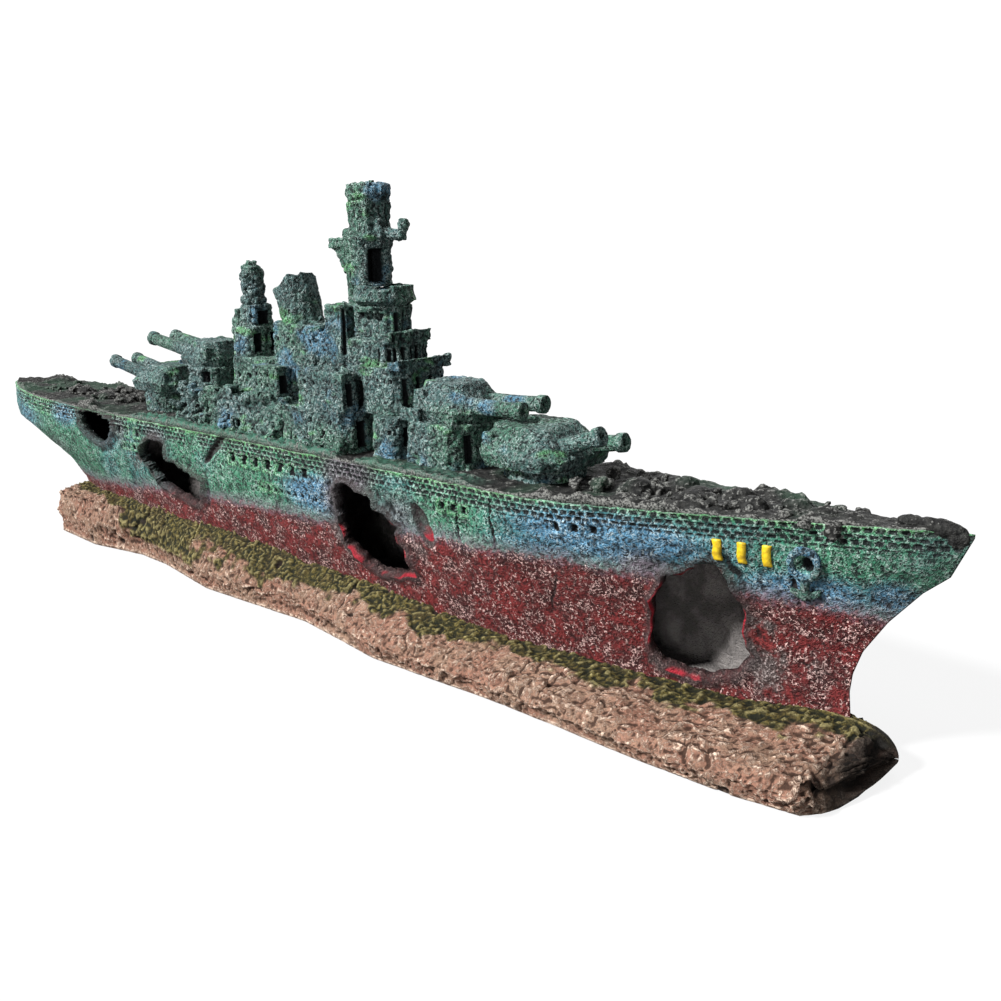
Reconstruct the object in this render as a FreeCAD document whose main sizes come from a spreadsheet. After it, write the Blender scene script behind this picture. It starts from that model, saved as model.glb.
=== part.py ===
import FreeCAD, Part
import os
import Sketcher
from math import cos, pi, sin
from FreeCAD import Placement, Rotation, Vector

# A sunken battleship for an aquarium: a hollow hull with torn openings, lying on a long rock base, with
# gun turrets, bridge tower, funnel and mast on its deck, and an air stone under the deck that makes bubbles.
# +X points to the bow, +Y to port and +Z up. The origin is under the middle of the ship, on the underside.

SIZES = {
    # ship
    "hull_length": 360.0,
    "hull_half_beam": 19.6,
    "keel_height": 7.5,
    "deck_height": 46.0,
    "bow_rise": 3.6,
    "stern_rise": 1.2,
    "sheer_start": 100.0,
    "stern_sheer_share": 0.78,
    "wall": 2.6,
    "end_wall": 5.0,
    "floor_thickness": 2.0,
    "deck_thickness": 1.6,
    # rock base
    "base_half_width": 30.0,
    "base_aft_end": -128.0,
    "base_fore_end": 172.0,
    "foot_trim": 2.0,
    # guns
    "barrel_radius": 2.0,
    "muzzle_radius": 1.7,
    "muzzle_collar": 2.1,
    "barrel_bore": 1.0,
    "bore_depth": 5.0,
    "collar_length": 2.0,
    "gun_half_spacing": 4.0,
    "socket_depth": 5.0,
    "socket_clearance": 0.05,
    # director on top of the tower
    "column_radius": 5.0,
    "column_rise": 12.0,
    "column_station": 26.5,
    "director_radius": 5.2,
    "director_rise": 8.6,
    "crown_radius": 6.2,
    "horn_reach": 4.0,
    "horn_radius": 1.4,
    "overall_height": 114.4,
    # cabins beside the funnel, and wings beside the bridge
    "cabin_aft": -10.0,
    "cabin_fore": 1.5,
    "cabin_inner": 8.5,
    "cabin_outer": 13.4,
    "cabin_rise": 9.4,
    "wing_aft": 12.8,
    "wing_fore": 30.2,
    "wing_inner": 9.6,
    "wing_outer": 14.8,
    "wing_rise": 10.0,
    # mast
    "mast_station": -25.0,
    "mast_foot_radius": 2.6,
    "mast_tip_radius": 1.6,
    "mast_top": 93.5,
    "mast_ring_radius": 3.4,
    "mast_ring_pitch": 3.6,
    # funnel and yard
    "funnel_station": -2.2,
    "funnel_foot_radius": 5.8,
    "funnel_top_radius": 6.2,
    "funnel_lean": 14.0,
    "funnel_rise": 14.0,
    "funnel_wall": 1.7,
    "yard_tip": 14.5,
    "yard_root": 5.0,
    "yard_thickness": 2.4,
    "yard_knob_radius": 1.9,
    "pole_radius": 0.9,
    "pole_station": 18.0,
    # anchors and raised marks on the bow
    "anchor_station": 152.0,
    "anchor_height": 39.5,
    "anchor_shank": 6.0,
    "anchor_arm": 7.0,
    "anchor_bar": 2.0,
    "mark_station": 135.0,
    "mark_height": 40.8,
    "mark_pitch": 4.4,
    "mark_width": 2.2,
    "mark_rise": 4.4,
    "mark_relief": 0.5,
    # bow chock
    "chock_station": 170.5,
    "chock_length": 7.0,
    "chock_half_width": 1.3,
    "chock_rise": 2.0,
    # air supply
    "air_height": 4.5,
    "air_pipe_radius": 2.1,
    "air_bore_radius": 1.2,
    "air_bend_radius": 5.0,
    "air_stone_station": -7.0,
    "air_stone_radius": 7.0,
    "air_stone_rise": 12.0,
    "riser_top": 15.0,
    "nipple_radius": 2.25,
    "nipple_length": 8.0,
    "flange_radius": 3.8,
    "flange_thickness": 1.2,
    "grommet_radius": 4.0,
    "grommet_lip": 5.2,
    "grommet_lip_rise": 0.8,
}

# Houses on the deck: name, what it stands on, aft end, fore end, half width, corner cut, rise, draft angle
HOUSES = (
    ("main_deckhouse", "deck", -32.5, 31.0, 15.5, 3.0, 11.0, 3.0),
    ("bridge_base", "deck", 37.0, 46.5, 13.0, 2.0, 11.0, 2.0),
    ("aft_deckhouse", "deck", -51.0, -33.0, 13.5, 4.0, 11.0, 3.0),
    ("fore_barbette", "deck", 47.0, 68.0, 12.5, 4.0, 11.0, 3.0),
    ("lower_bridge", "main_deckhouse", 22.6, 45.5, 9.5, 3.0, 11.5, 2.0),
    ("upper_bridge", "lower_bridge", 22.6, 40.5, 7.5, 2.5, 6.5, 2.0),
    ("tower", "upper_bridge", 22.6, 38.0, 4.8, 2.0, 8.5, 1.0),
    ("lookout_platform", "tower", 22.9, 39.3, 8.0, 4.5, 5.0, -2.0),
    ("tower_annex", "main_deckhouse", 13.0, 22.4, 7.0, 1.5, 26.0, 1.0),
    ("funnel_base", "main_deckhouse", -8.5, 12.5, 8.0, 2.0, 20.5, 2.0),
    ("mast_plinth", "main_deckhouse", -28.5, -9.0, 8.0, 2.0, 10.0, 2.0),
    ("mast_house", "mast_plinth", -28.0, -19.5, 6.3, 1.5, 8.5, 1.0),
    ("mast_step", "mast_house", -27.8, -20.5, 4.4, 1.5, 6.0, 3.0),
    ("after_barbette", "aft_deckhouse", -51.0, -37.0, 9.5, 3.0, 5.5, 2.0),
    ("signal_locker", "main_deckhouse", -32.3, -28.8, 3.2, 0.6, 23.0, 1.0),
)

# Gun turrets: name, stands on, aft end, fore end, half width, corner cut, rise, draft angle, facing,
# elevation of the starboard gun, elevation of the port gun
TURRETS = (
    ("turret_a", "turret_a_ring", 71.5, 96.0, 12.5, 4.5, 9.0, 10.0, 1, 20.0, 9.0),
    ("turret_b", "fore_barbette", 47.5, 67.0, 10.0, 4.5, 9.0, 8.0, 1, 1.0, 3.0),
    ("turret_c", "after_barbette", -56.5, -37.5, 8.5, 3.5, 7.5, 10.0, -1, 8.0, 8.0),
    ("turret_d", "turret_d_ring", -84.0, -60.0, 10.0, 4.0, 8.0, 10.0, -1, 9.0, 9.0),
)

# Length of the gun barrels outside the turret face
GUN_REACH = {"turret_a": 9.0, "turret_b": 15.0, "turret_c": 20.0, "turret_d": 18.0}

# Round pieces: name, stands on, station along X, offset to port, radius, rise
DRUMS = (
    ("turret_a_ring", "deck", 84.0, 0.0, 9.5, 3.6),
    ("turret_d_ring", "deck", -72.0, 0.0, 9.0, 7.0),
)

# Torn openings in the hull: name, side, station, height, half length, half height, lean, phase
BREACHES = (
    ("bow_breach", -1, 130.0, 23.0, 10.5, 14.5, 0.12, 0.4),
    ("mid_breach", -1, 44.0, 29.5, 9.0, 13.0, 0.55, 1.3),
    ("aft_breach", -1, -47.0, 32.0, 15.5, 6.5, 0.16, 2.2),
    ("stern_breach", -1, -93.0, 42.0, 12.0, 6.5, 0.10, 0.9),
    ("port_mid_breach", 1, 62.0, 29.0, 10.0, 11.0, -0.25, 2.8),
    ("port_aft_breach", 1, -36.0, 33.0, 14.0, 7.0, -0.15, 1.7),
    ("port_stern_breach", 1, -112.0, 37.0, 8.0, 6.0, 0.20, 0.2),
)

# Rock base, from aft to fore: station, shares of the half width to starboard and to port, height of the
# shoulder, height against the hull
ROCK_STATIONS = (
    (0.000, 0.50, 0.50, 12.0, 15.0),
    (0.025, 0.72, 0.70, 14.5, 17.0),
    (0.110, 0.78, 0.76, 16.0, 21.0),
    (0.190, 0.64, 0.68, 14.5, 19.5),
    (0.240, 0.66, 0.72, 12.5, 19.0),
    (0.340, 0.84, 0.82, 11.5, 18.0),
    (0.490, 0.79, 0.90, 9.5, 15.5),
    (0.600, 0.97, 1.00, 8.0, 14.0),
    (0.740, 0.94, 0.78, 7.0, 12.5),
    (0.860, 1.00, 0.50, 6.5, 11.5),
    (0.930, 1.00, 0.28, 7.5, 9.5),
    (0.975, 0.94, 0.16, 7.5, 9.0),
    (1.000, 0.60, 0.06, 6.5, 7.5),
)

# Raking stem and overhanging counter: height above the floor, share of half the ship's length
STEM = (
    (7.5, 0.893), (14.0, 0.889), (18.0, 0.891), (23.0, 0.900),
    (30.0, 0.924), (37.0, 0.956), (41.0, 0.981), (49.0, 1.0),
)
COUNTER = (
    (7.5, 0.700), (11.0, 0.717), (17.0, 0.744), (24.0, 0.800), (30.0, 0.894), (36.0, 0.994), (40.0, 1.0),
)
BEAM_SHARE = ((7.5, 0.72), (14.0, 0.80), (22.0, 0.90), (30.0, 0.97), (38.0, 1.0), (54.0, 1.0))
BOW_TAPER, BOW_FULLNESS = 90.0, 1.3
STERN_TAPER, STERN_FULLNESS = 95.0, 1.9
STERN_ROUNDING = 0.62

# Heaps of wreckage on the deck: name, then station along X, half width and height above the deck
HEAPS = {
    "foredeck_wreckage": (
        (110.0, 9.5, 1.4), (120.0, 8.5, 3.6), (134.0, 6.5, 3.4), (148.0, 4.0, 3.4),
        (160.0, 2.2, 2.6), (166.0, 1.2, 1.0),
    ),
    "aft_deck_wreckage": (
        (-152.0, 3.5, 0.8), (-142.0, 6.0, 1.8), (-128.0, 7.0, 1.6), (-116.0, 8.0, 2.2), (-108.0, 7.0, 0.8),
    ),
}

HULL_LEVELS = (0.0, 6.5, 14.5, 22.5, 30.5, 38.5, 41.5, 46.5)
WATERLINE_POINTS = 30
BREACH_POINTS = 14

doc = FreeCAD.newDocument("battleship_wreck")
sheet = doc.addObject("Spreadsheet::Sheet", "sizes")
subparts = []
houses = {}
foot_of = {"deck": "sizes.deck_height"}
top_of = {"deck": "sizes.deck_height"}


def put_in_sheet(name, value):
    """Writes one driving size into the next free row of the sheet."""
    row = put_in_sheet.row
    sheet.set(f"A{row}", name)
    sheet.set(f"B{row}", str(value))
    sheet.setAlias(f"B{row}", name)
    put_in_sheet.row = row + 1


put_in_sheet.row = 1


def fill_sheet():
    for name, value in SIZES.items():
        put_in_sheet(name, value)
    fields = ("aft", "fore", "half", "cut", "rise", "draft")
    for name, _, *values in HOUSES:
        for field, value in zip(fields, values):
            put_in_sheet(f"{name}_{field}", value)
    for name, _, *values in TURRETS:
        for field, value in zip(fields + ("facing", "starboard_elevation", "port_elevation"), values):
            put_in_sheet(f"{name}_{field}", value)
        put_in_sheet(f"{name}_reach", GUN_REACH[name])
    for name, _, *values in DRUMS:
        for field, value in zip(("station", "offset", "radius", "rise"), values):
            put_in_sheet(f"{name}_{field}", value)
    doc.recompute()


def size(name):
    return float(sheet.get(name))


def bind(item, **expressions):
    """Binds properties to expressions; a double underscore in a name stands for a dot."""
    for name, expression in expressions.items():
        item.setExpression(name.replace("__", "."), str(expression))
    return item


def place(item, x="0", y="0", z="0"):
    return bind(item, Placement__Base__x=x, Placement__Base__y=y, Placement__Base__z=z)


def keep(item, label):
    """Marks an object as a finished sub-part, which is written to its own file."""
    item.Label = label
    subparts.append(item)
    return item


def primitive(kind, name, **expressions):
    return bind(doc.addObject(f"Part::{kind}", name), **expressions)


def cut(name, base, tool):
    item = doc.addObject("Part::Cut", name)
    item.Base = base
    item.Tool = tool
    return item


def common(name, base, tool):
    item = doc.addObject("Part::Common", name)
    item.Base = base
    item.Tool = tool
    return item


def fuse(name, pieces):
    item = doc.addObject("Part::MultiFuse", name)
    item.Shapes = pieces
    return item


def solid_feature(name, shape, z=0.0):
    """A free-form solid; its sizes come from the sheet through the code that made its shape."""
    item = doc.addObject("Part::Feature", name)
    item.Shape = shape
    item.Placement = Placement(Vector(0, 0, z), Rotation())
    return item


def outline_sketch(body, name, corners, role="XY_Plane"):
    """A closed polygon whose corners are bound to pairs of expressions."""
    sketch = body.newObject("Sketcher::SketchObject", name)
    plane = next(item for item in body.Origin.OriginFeatures if item.Role == role)
    sketch.AttachmentSupport = (plane, [""])
    sketch.MapMode = "FlatFace"
    count = len(corners)
    start = [Vector(value_of(u), value_of(v), 0) for u, v in corners]
    for index in range(count):
        sketch.addGeometry(Part.LineSegment(start[index], start[(index + 1) % count]), False)
    for index in range(count):
        sketch.addConstraint(Sketcher.Constraint("Coincident", index, 2, (index + 1) % count, 1))
    for index, corner in enumerate(corners):
        for kind, expression, value in zip(("DistanceX", "DistanceY"), corner, start[index]):
            number = sketch.addConstraint(Sketcher.Constraint(kind, -1, 1, index, 1, value))
            sketch.setExpression(f"Constraints[{number}]", f"({expression}) * 1 mm")
    return sketch


def value_of(expression):
    """The present value of an expression that reads the sheet."""
    return float(sheet.evalExpression(expression.replace("sizes.", "")))


# ---------------------------------------------------------------- hull


def interpolate(pairs, value):
    """Straight-line interpolation in a list of (position, amount) pairs."""
    for (left, low), (right, high) in zip(pairs, pairs[1:]):
        if value <= right:
            return low + (high - low) * max(0.0, value - left) / (right - left)
    return pairs[-1][1]


def waterline(level, side_inset, end_inset):
    """Half breadths of the hull at one level, from the stern to the stem, as (x, y) pairs."""
    height = size("keel_height") + level
    half_length = size("hull_length") / 2
    stern = -half_length * interpolate(COUNTER, height) + end_inset
    stem = half_length * interpolate(STEM, height) - end_inset
    beam = size("hull_half_beam") * interpolate(BEAM_SHARE, height) - side_inset
    points = []
    for index in range(WATERLINE_POINTS + 1):
        x = stern + (stem - stern) * (1 - cos(pi * index / WATERLINE_POINTS)) / 2
        aft = min(1.0, (x - stern) / STERN_TAPER)
        fore = min(1.0, (stem - x) / BOW_TAPER)
        full_aft = 1 - (1 - aft ** STERN_ROUNDING) ** STERN_FULLNESS
        full_fore = 1 - (1 - fore) ** BOW_FULLNESS
        points.append((x, beam * full_aft * full_fore))
    return points


def hull_form(side_inset=0.0, end_inset=0.0, floor=0.0):
    """The hull's outer or inner form, with its keel at zero: waterlines joined by a loft."""
    wires = []
    for level in HULL_LEVELS:
        rise = max(level, floor)
        half = waterline(rise, side_inset, end_inset)
        curves = []
        for side in (-1, 1):
            curve = Part.BSplineCurve()
            curve.interpolate([Vector(x, side * y, rise) for x, y in half])
            curves.append(curve.toShape())
        wires.append(Part.Wire(curves))
    return Part.makeLoft(wires, True, True)


def sheer_height(x):
    """Height of the deck's edge, which rises towards the bow and, less, towards the stern."""
    half_length = size("hull_length") / 2
    deck = size("deck_height")
    line = (
        (-half_length, deck + size("stern_rise")),
        (-half_length * size("stern_sheer_share"), deck),
        (size("sheer_start"), deck),
        (half_length, deck + size("bow_rise")),
    )
    return interpolate(line, x)


def sheer_block(depth):
    """A block above the sheer line, or a strip of the given depth under it."""
    half_length = size("hull_length") / 2
    knees = (-half_length, -half_length * size("stern_sheer_share"), size("sheer_start"), half_length)
    line = [(x, sheer_height(x)) for x in knees]
    if depth > 0:
        other = [(x, z - depth) for x, z in reversed(line)]
    else:
        other = [(half_length, size("overall_height")), (-half_length, size("overall_height"))]
    half_width = size("base_half_width")
    corners = [Vector(x, -half_width, z) for x, z in line + other]
    face = Part.Face(Part.makePolygon(corners + corners[:1]))
    return face.extrude(Vector(0, 2 * half_width, 0))


def breach_tool(side, station, height, half_length, half_height, lean, phase):
    """A prism with a ragged outline, which tears one opening through one side of the hull."""
    reach = size("base_half_width")
    corners = []
    for index in range(BREACH_POINTS):
        angle = 2 * pi * index / BREACH_POINTS
        ragged = 1 + 0.13 * sin(3 * angle + phase) + 0.07 * sin(7 * angle + 2 * phase)
        rise = half_height * ragged * sin(angle)
        run = half_length * ragged * cos(angle) - lean * rise
        corners.append(Vector(station + run, 0, height + rise))
    face = Part.Face(Part.makePolygon(corners + corners[:1]))
    return face.extrude(Vector(0, side * reach, 0))


def build_hull():
    keel = size("keel_height")
    wall, end_wall = size("wall"), size("end_wall")
    outer = solid_feature("hull_outer_form", hull_form(), keel)
    inner = solid_feature("hull_inner_form", hull_form(wall, end_wall, size("floor_thickness")), keel)
    above = solid_feature("above_sheer", sheer_block(0))
    deck_strip = solid_feature("deck_strip", sheer_block(size("deck_thickness")))
    tools = [inner, above, air_grommet_hole()]
    for name, *numbers in BREACHES:
        tools.append(solid_feature(name, breach_tool(*numbers)))
    keep(cut("hull", outer, fuse("hull_tools", tools)), "hull_shell")
    keep(common("deck", inner, deck_strip), "main_deck")
    return outer


# ---------------------------------------------------------------- rock base


def build_rock_base(hull_outer, air_tunnel):
    aft, fore = size("base_aft_end"), size("base_fore_end")
    sections = []
    for station, starboard_share, port_share, shoulder, crest in ROCK_STATIONS:
        x = aft + (fore - aft) * station
        starboard, port = size("base_half_width") * starboard_share, size("base_half_width") * port_share
        profile = ((1, -size("foot_trim")), (1, 0), (0.97, shoulder * 0.55), (0.86, shoulder), (0.45, crest))
        loop = [(starboard * share, z) for share, z in profile]
        loop += [(-port * share, z) for share, z in reversed(profile)]
        corners = [Vector(x, -y, z) for y, z in loop]
        sections.append(Part.makePolygon(corners + corners[:1]))
    rock = solid_feature("rock_form", Part.makeLoft(sections, True, True))
    below = primitive(
        "Box", "below_floor", Length="sizes.hull_length", Width="4 * sizes.base_half_width",
        Height="2 * sizes.foot_trim",
    )
    place(below, "-sizes.hull_length / 2", "-2 * sizes.base_half_width", "-2 * sizes.foot_trim")
    bed = cut("rock_with_bed", rock, fuse("rock_tools", [hull_outer, below]))
    keep(cut("rock", bed, air_tunnel), "rock_base")


# ---------------------------------------------------------------- deck houses and guns


def chamfered_body(name, prefix, foot):
    """A house with cut corners and leaning sides, standing at the given height."""
    half_length = f"((sizes.{prefix}_fore - sizes.{prefix}_aft) / 2)"
    half_width = f"sizes.{prefix}_half"
    corner = f"sizes.{prefix}_cut"
    lean = f"(sizes.{prefix}_rise * tan(sizes.{prefix}_draft * 1 deg))"
    if size(f"{prefix}_draft") < 0:
        lean = "0"
    quarter = (
        (half_length, f"({half_width} - {corner})"),
        (f"({half_length} - {corner})", half_width),
    )
    corners = [quarter[0], quarter[1]]
    corners += [(f"-{quarter[1][0]}", quarter[1][1]), (f"-{quarter[0][0]}", quarter[0][1])]
    corners += [(f"-{quarter[0][0]}", f"-{quarter[0][1]}"), (f"-{quarter[1][0]}", f"-{quarter[1][1]}")]
    corners += [(quarter[1][0], f"-{quarter[1][1]}"), (quarter[0][0], f"-{quarter[0][1]}")]
    body = doc.addObject("PartDesign::Body", name)
    sketch = outline_sketch(body, f"{name}_outline", corners)
    pad = body.newObject("PartDesign::Pad", f"{name}_pad")
    pad.Profile = sketch
    bind(pad, Length=f"sizes.{prefix}_rise", TaperAngle=f"-sizes.{prefix}_draft")
    place(body, f"(sizes.{prefix}_aft + sizes.{prefix}_fore) / 2", "0", foot)
    return body


def build_houses():
    for name, below, *_ in HOUSES:
        foot_of[name] = top_of[below]
        top_of[name] = f"{foot_of[name]} + sizes.{name}_rise"
        houses[name] = keep(chamfered_body(name + "_body", name, foot_of[name]), name)
    for kind in ("cabin", "wing"):
        for side in ("starboard", "port"):
            block = primitive(
                "Box", f"{side}_{kind}_box", Length=f"sizes.{kind}_fore - sizes.{kind}_aft",
                Width=f"sizes.{kind}_outer - sizes.{kind}_inner", Height=f"sizes.{kind}_rise",
            )
            start = f"-sizes.{kind}_outer" if side == "starboard" else f"sizes.{kind}_inner"
            place(block, f"sizes.{kind}_aft", start, top_of["main_deckhouse"])
            keep(block, f"{side}_{kind}")


def build_drums():
    for name, below, *_ in DRUMS:
        foot_of[name] = top_of[below]
        top_of[name] = f"{foot_of[name]} + sizes.{name}_rise"
        drum = primitive("Cylinder", name, Radius=f"sizes.{name}_radius", Height=f"sizes.{name}_rise")
        place(drum, f"sizes.{name}_station", f"sizes.{name}_offset", foot_of[name])
        keep(drum, name)


def gun_barrel(name, prefix):
    """A turned barrel with a collar and an open bore at the muzzle, lying along +X from its root."""
    body = doc.addObject("PartDesign::Body", name)
    end = f"(sizes.{prefix}_reach + sizes.socket_depth)"
    corners = [
        ("0", "0"),
        ("0", "sizes.barrel_radius"),
        (f"{end} - sizes.collar_length", "sizes.muzzle_radius"),
        (f"{end} - sizes.collar_length", "sizes.muzzle_collar"),
        (end, "sizes.muzzle_collar"),
        (end, "sizes.barrel_bore"),
        (f"{end} - sizes.bore_depth", "sizes.barrel_bore"),
        (f"{end} - sizes.bore_depth", "0"),
    ]
    sketch = outline_sketch(body, f"{name}_section", corners)
    turned = body.newObject("PartDesign::Revolution", f"{name}_turned")
    turned.Profile = sketch
    turned.ReferenceAxis = (sketch, ["H_Axis"])
    turned.Angle = 360
    return body


def build_turrets():
    for name, below, *_ in TURRETS:
        foot_of[name] = top_of[below]
        top_of[name] = f"{foot_of[name]} + sizes.{name}_rise"
        house = chamfered_body(name + "_body", name, foot_of[name])
        facing = int(size(f"{name}_facing"))
        face = f"sizes.{name}_fore" if facing > 0 else f"sizes.{name}_aft"
        root = f"{face} - {facing} * (sizes.socket_depth + 1)"
        height = f"{foot_of[name]} + sizes.{name}_rise * 0.45"
        sockets = []
        for side, side_name in ((-1, "starboard"), (1, "port")):
            offset = f"{side} * sizes.gun_half_spacing"
            elevation = size(f"{name}_{side_name}_elevation")
            rotation = Rotation(Vector(0, 1, 0), -elevation if facing > 0 else 180 + elevation)
            barrel = gun_barrel(f"{name}_{side_name}_turned", name)
            barrel.Placement = Placement(Vector(), rotation)
            place(barrel, root, offset, height)
            keep(barrel, f"{name}_{side_name}_barrel")
            socket = primitive(
                "Cylinder", f"{name}_{side_name}_socket",
                Radius="sizes.barrel_radius + sizes.socket_clearance", Height="sizes.socket_depth * 3",
            )
            socket.Placement = Placement(Vector(), rotation.multiply(Rotation(Vector(0, 1, 0), 90)))
            place(socket, root, offset, height)
            sockets.append(socket)
        keep(cut(f"{name}_drilled", house, fuse(f"{name}_sockets", sockets)), f"{name}_house")


# ---------------------------------------------------------------- tower top, funnel and mast


def build_tower_top():
    deck = top_of["lookout_platform"]
    column = primitive("Cylinder", "column", Radius="sizes.column_radius", Height="sizes.column_rise")
    place(column, "sizes.column_station", "0", deck)
    keep(column, "director_column")
    director_foot = f"{deck} + sizes.column_rise"
    director = primitive("Cylinder", "director", Radius="sizes.director_radius", Height="sizes.director_rise")
    place(director, "sizes.column_station", "0", director_foot)
    keep(director, "gun_director")
    crown_foot = f"{director_foot} + sizes.director_rise"
    crown = primitive(
        "Cone", "crown", Radius1="sizes.director_radius", Radius2="sizes.crown_radius",
        Height=f"sizes.overall_height - ({crown_foot})",
    )
    place(crown, "sizes.column_station", "0", crown_foot)
    keep(crown, "director_crown")
    ring = primitive(
        "Torus", "horn_ring", Radius1="sizes.horn_reach", Radius2="sizes.horn_radius",
        Angle1="-180", Angle2="180", Angle3="120",
    )
    place(ring, "sizes.column_station + sizes.horn_reach + 1", "0", f"{director_foot} + sizes.horn_reach - 3")
    turn_ring = Rotation(Vector(0, 1, 0), 90).multiply(Rotation(Vector(1, 0, 0), 90))
    ring.Placement = Placement(ring.Placement.Base, turn_ring)
    solids_in_way = fuse("director_and_column", [column, director])
    keep(cut("horn", ring, solids_in_way), "rangefinder_horn")
    build_yard(column, director_foot)


def build_yard(column, director_foot):
    """The triangular yard aft of the tower top, with a knob at its tip and a thin pole under it."""
    body = doc.addObject("PartDesign::Body", "yard_body")
    root, tip = "-sizes.yard_root", "-sizes.yard_tip"
    corners = [(root, f"{root} / 2"), (tip, "0.5"), (root, f"sizes.yard_root / 2")]
    sketch = outline_sketch(body, "yard_outline", corners, "XZ_Plane")
    pad = body.newObject("PartDesign::Pad", "yard_pad")
    pad.Profile = sketch
    pad.Midplane = True
    bind(pad, Length="sizes.yard_thickness")
    place(body, "sizes.column_station", "0", f"{director_foot} - 3")
    knob = primitive("Sphere", "yard_knob", Radius="sizes.yard_knob_radius")
    place(knob, "sizes.column_station - sizes.yard_tip + 0.5", "0", f"{director_foot} - 2.5")
    yard = fuse("yard_with_knob", [body, knob])
    keep(cut("yard_fitted", yard, column), "signal_yard")
    pole_rise = f"{director_foot} - 4 - ({top_of['tower_annex']})"
    pole = primitive("Cylinder", "pole", Radius="sizes.pole_radius", Height=pole_rise)
    place(pole, "sizes.pole_station", "0", top_of["tower_annex"])
    keep(cut("pole_fitted", pole, yard), "yard_pole")


def build_funnel():
    foot = top_of["funnel_base"]
    outer = primitive(
        "Cone", "funnel_outer", Radius1="sizes.funnel_foot_radius", Radius2="sizes.funnel_top_radius",
        Height="sizes.funnel_rise",
    )
    inner = primitive(
        "Cone", "funnel_inner", Radius1="sizes.funnel_foot_radius - sizes.funnel_wall",
        Radius2="sizes.funnel_top_radius - sizes.funnel_wall", Height="sizes.funnel_rise",
    )
    lean = Rotation(Vector(0, 1, 0), -size("funnel_lean"))
    for cone, above_foot in ((outer, -1), (inner, 3)):
        cone.Placement = Placement(Vector(), lean)
        place(cone, "sizes.funnel_station", "0", f"{foot} + {above_foot}")
    hollow = cut("funnel_hollow", outer, inner)
    keep(cut("funnel_fitted", hollow, houses["funnel_base"]), "torn_funnel")


def build_mast():
    foot = top_of["mast_step"]
    stem = primitive(
        "Cone", "mast_stem", Radius1="sizes.mast_foot_radius", Radius2="sizes.mast_tip_radius",
        Height=f"sizes.mast_top - ({foot})",
    )
    place(stem, "sizes.mast_station", "0", foot)
    pieces = [stem]
    for index in range(3):
        ring = primitive("Sphere", f"mast_ring_{'abc'[index]}", Radius="sizes.mast_ring_radius")
        place(ring, "sizes.mast_station", "0", f"sizes.mast_top - (1 + {index}) * sizes.mast_ring_pitch")
        pieces.append(ring)
    seat = cut("mast_clear_of_step", fuse("mast_with_rings", pieces), houses["mast_step"])
    keep(seat, "ringed_mast")


# ---------------------------------------------------------------- air supply


def air_route(name, radius, start, end):
    """A solid along the air pipe's route: along the base, round a bend, and up through the hull's floor."""
    bend = "sizes.air_bend_radius"
    corner = f"sizes.air_stone_station - {bend}"
    run = primitive("Cylinder", f"{name}_run", Radius=radius, Height=f"{corner} - ({start})")
    run.Placement = Placement(Vector(), Rotation(Vector(0, 1, 0), 90))
    place(run, start, "0", "sizes.air_height")
    curve = primitive(
        "Torus", f"{name}_bend", Radius1=bend, Radius2=radius, Angle1="-180", Angle2="180", Angle3="90",
    )
    turn = Rotation(Vector(1, 0, 0), 90).multiply(Rotation(Vector(0, 0, 1), -90))
    curve.Placement = Placement(Vector(), turn)
    place(curve, corner, "0", f"sizes.air_height + {bend}")
    rise = f"{end} - sizes.air_height - {bend}"
    riser = primitive("Cylinder", f"{name}_riser", Radius=radius, Height=rise)
    place(riser, "sizes.air_stone_station", "0", f"sizes.air_height + {bend}")
    return fuse(name, [run, curve, riser])


def air_grommet_hole():
    hole = primitive(
        "Cylinder", "grommet_hole", Radius="sizes.grommet_radius", Height="sizes.floor_thickness * 3",
    )
    return place(hole, "sizes.air_stone_station", "0", "sizes.keel_height - sizes.floor_thickness")


def build_air_supply(tube):
    floor = "sizes.keel_height + sizes.floor_thickness"
    bore = air_route("air_bore", "sizes.air_bore_radius", "sizes.base_aft_end - 1", "sizes.riser_top + 1")
    keep(cut("air_tube", tube, bore), "air_pipe")
    stone = primitive("Cylinder", "stone", Radius="sizes.air_stone_radius", Height="sizes.air_stone_rise")
    place(stone, "sizes.air_stone_station", "0", f"{floor} + sizes.grommet_lip_rise + 1")
    keep(cut("stone_on_pipe", stone, tube), "air_stone")
    plug = primitive("Cylinder", "grommet_plug", Radius="sizes.grommet_radius", Height="sizes.floor_thickness")
    place(plug, "sizes.air_stone_station", "0", "sizes.keel_height")
    lip = primitive(
        "Cylinder", "grommet_lip_ring", Radius="sizes.grommet_lip", Height="sizes.grommet_lip_rise",
    )
    place(lip, "sizes.air_stone_station", "0", floor)
    keep(cut("grommet_ring", fuse("grommet_solid", [plug, lip]), tube), "hull_grommet")
    spigot = primitive("Cylinder", "spigot", Radius="sizes.nipple_radius", Height="sizes.nipple_length")
    flange = primitive("Cylinder", "flange", Radius="sizes.flange_radius", Height="sizes.flange_thickness")
    way = primitive(
        "Cylinder", "nipple_bore", Radius="sizes.air_bore_radius", Height="sizes.nipple_length * 2",
    )
    face = "sizes.base_aft_end"
    for item in (spigot, flange, way):
        item.Placement = Placement(Vector(), Rotation(Vector(0, 1, 0), -90))
    place(spigot, f"{face} - sizes.flange_thickness", "0", "sizes.air_height")
    place(flange, face, "0", "sizes.air_height")
    place(way, f"{face} + 1", "0", "sizes.air_height")
    keep(cut("nipple_drilled", fuse("nipple_solid", [spigot, flange]), way), "air_nipple")


# ---------------------------------------------------------------- loose wreckage


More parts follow.
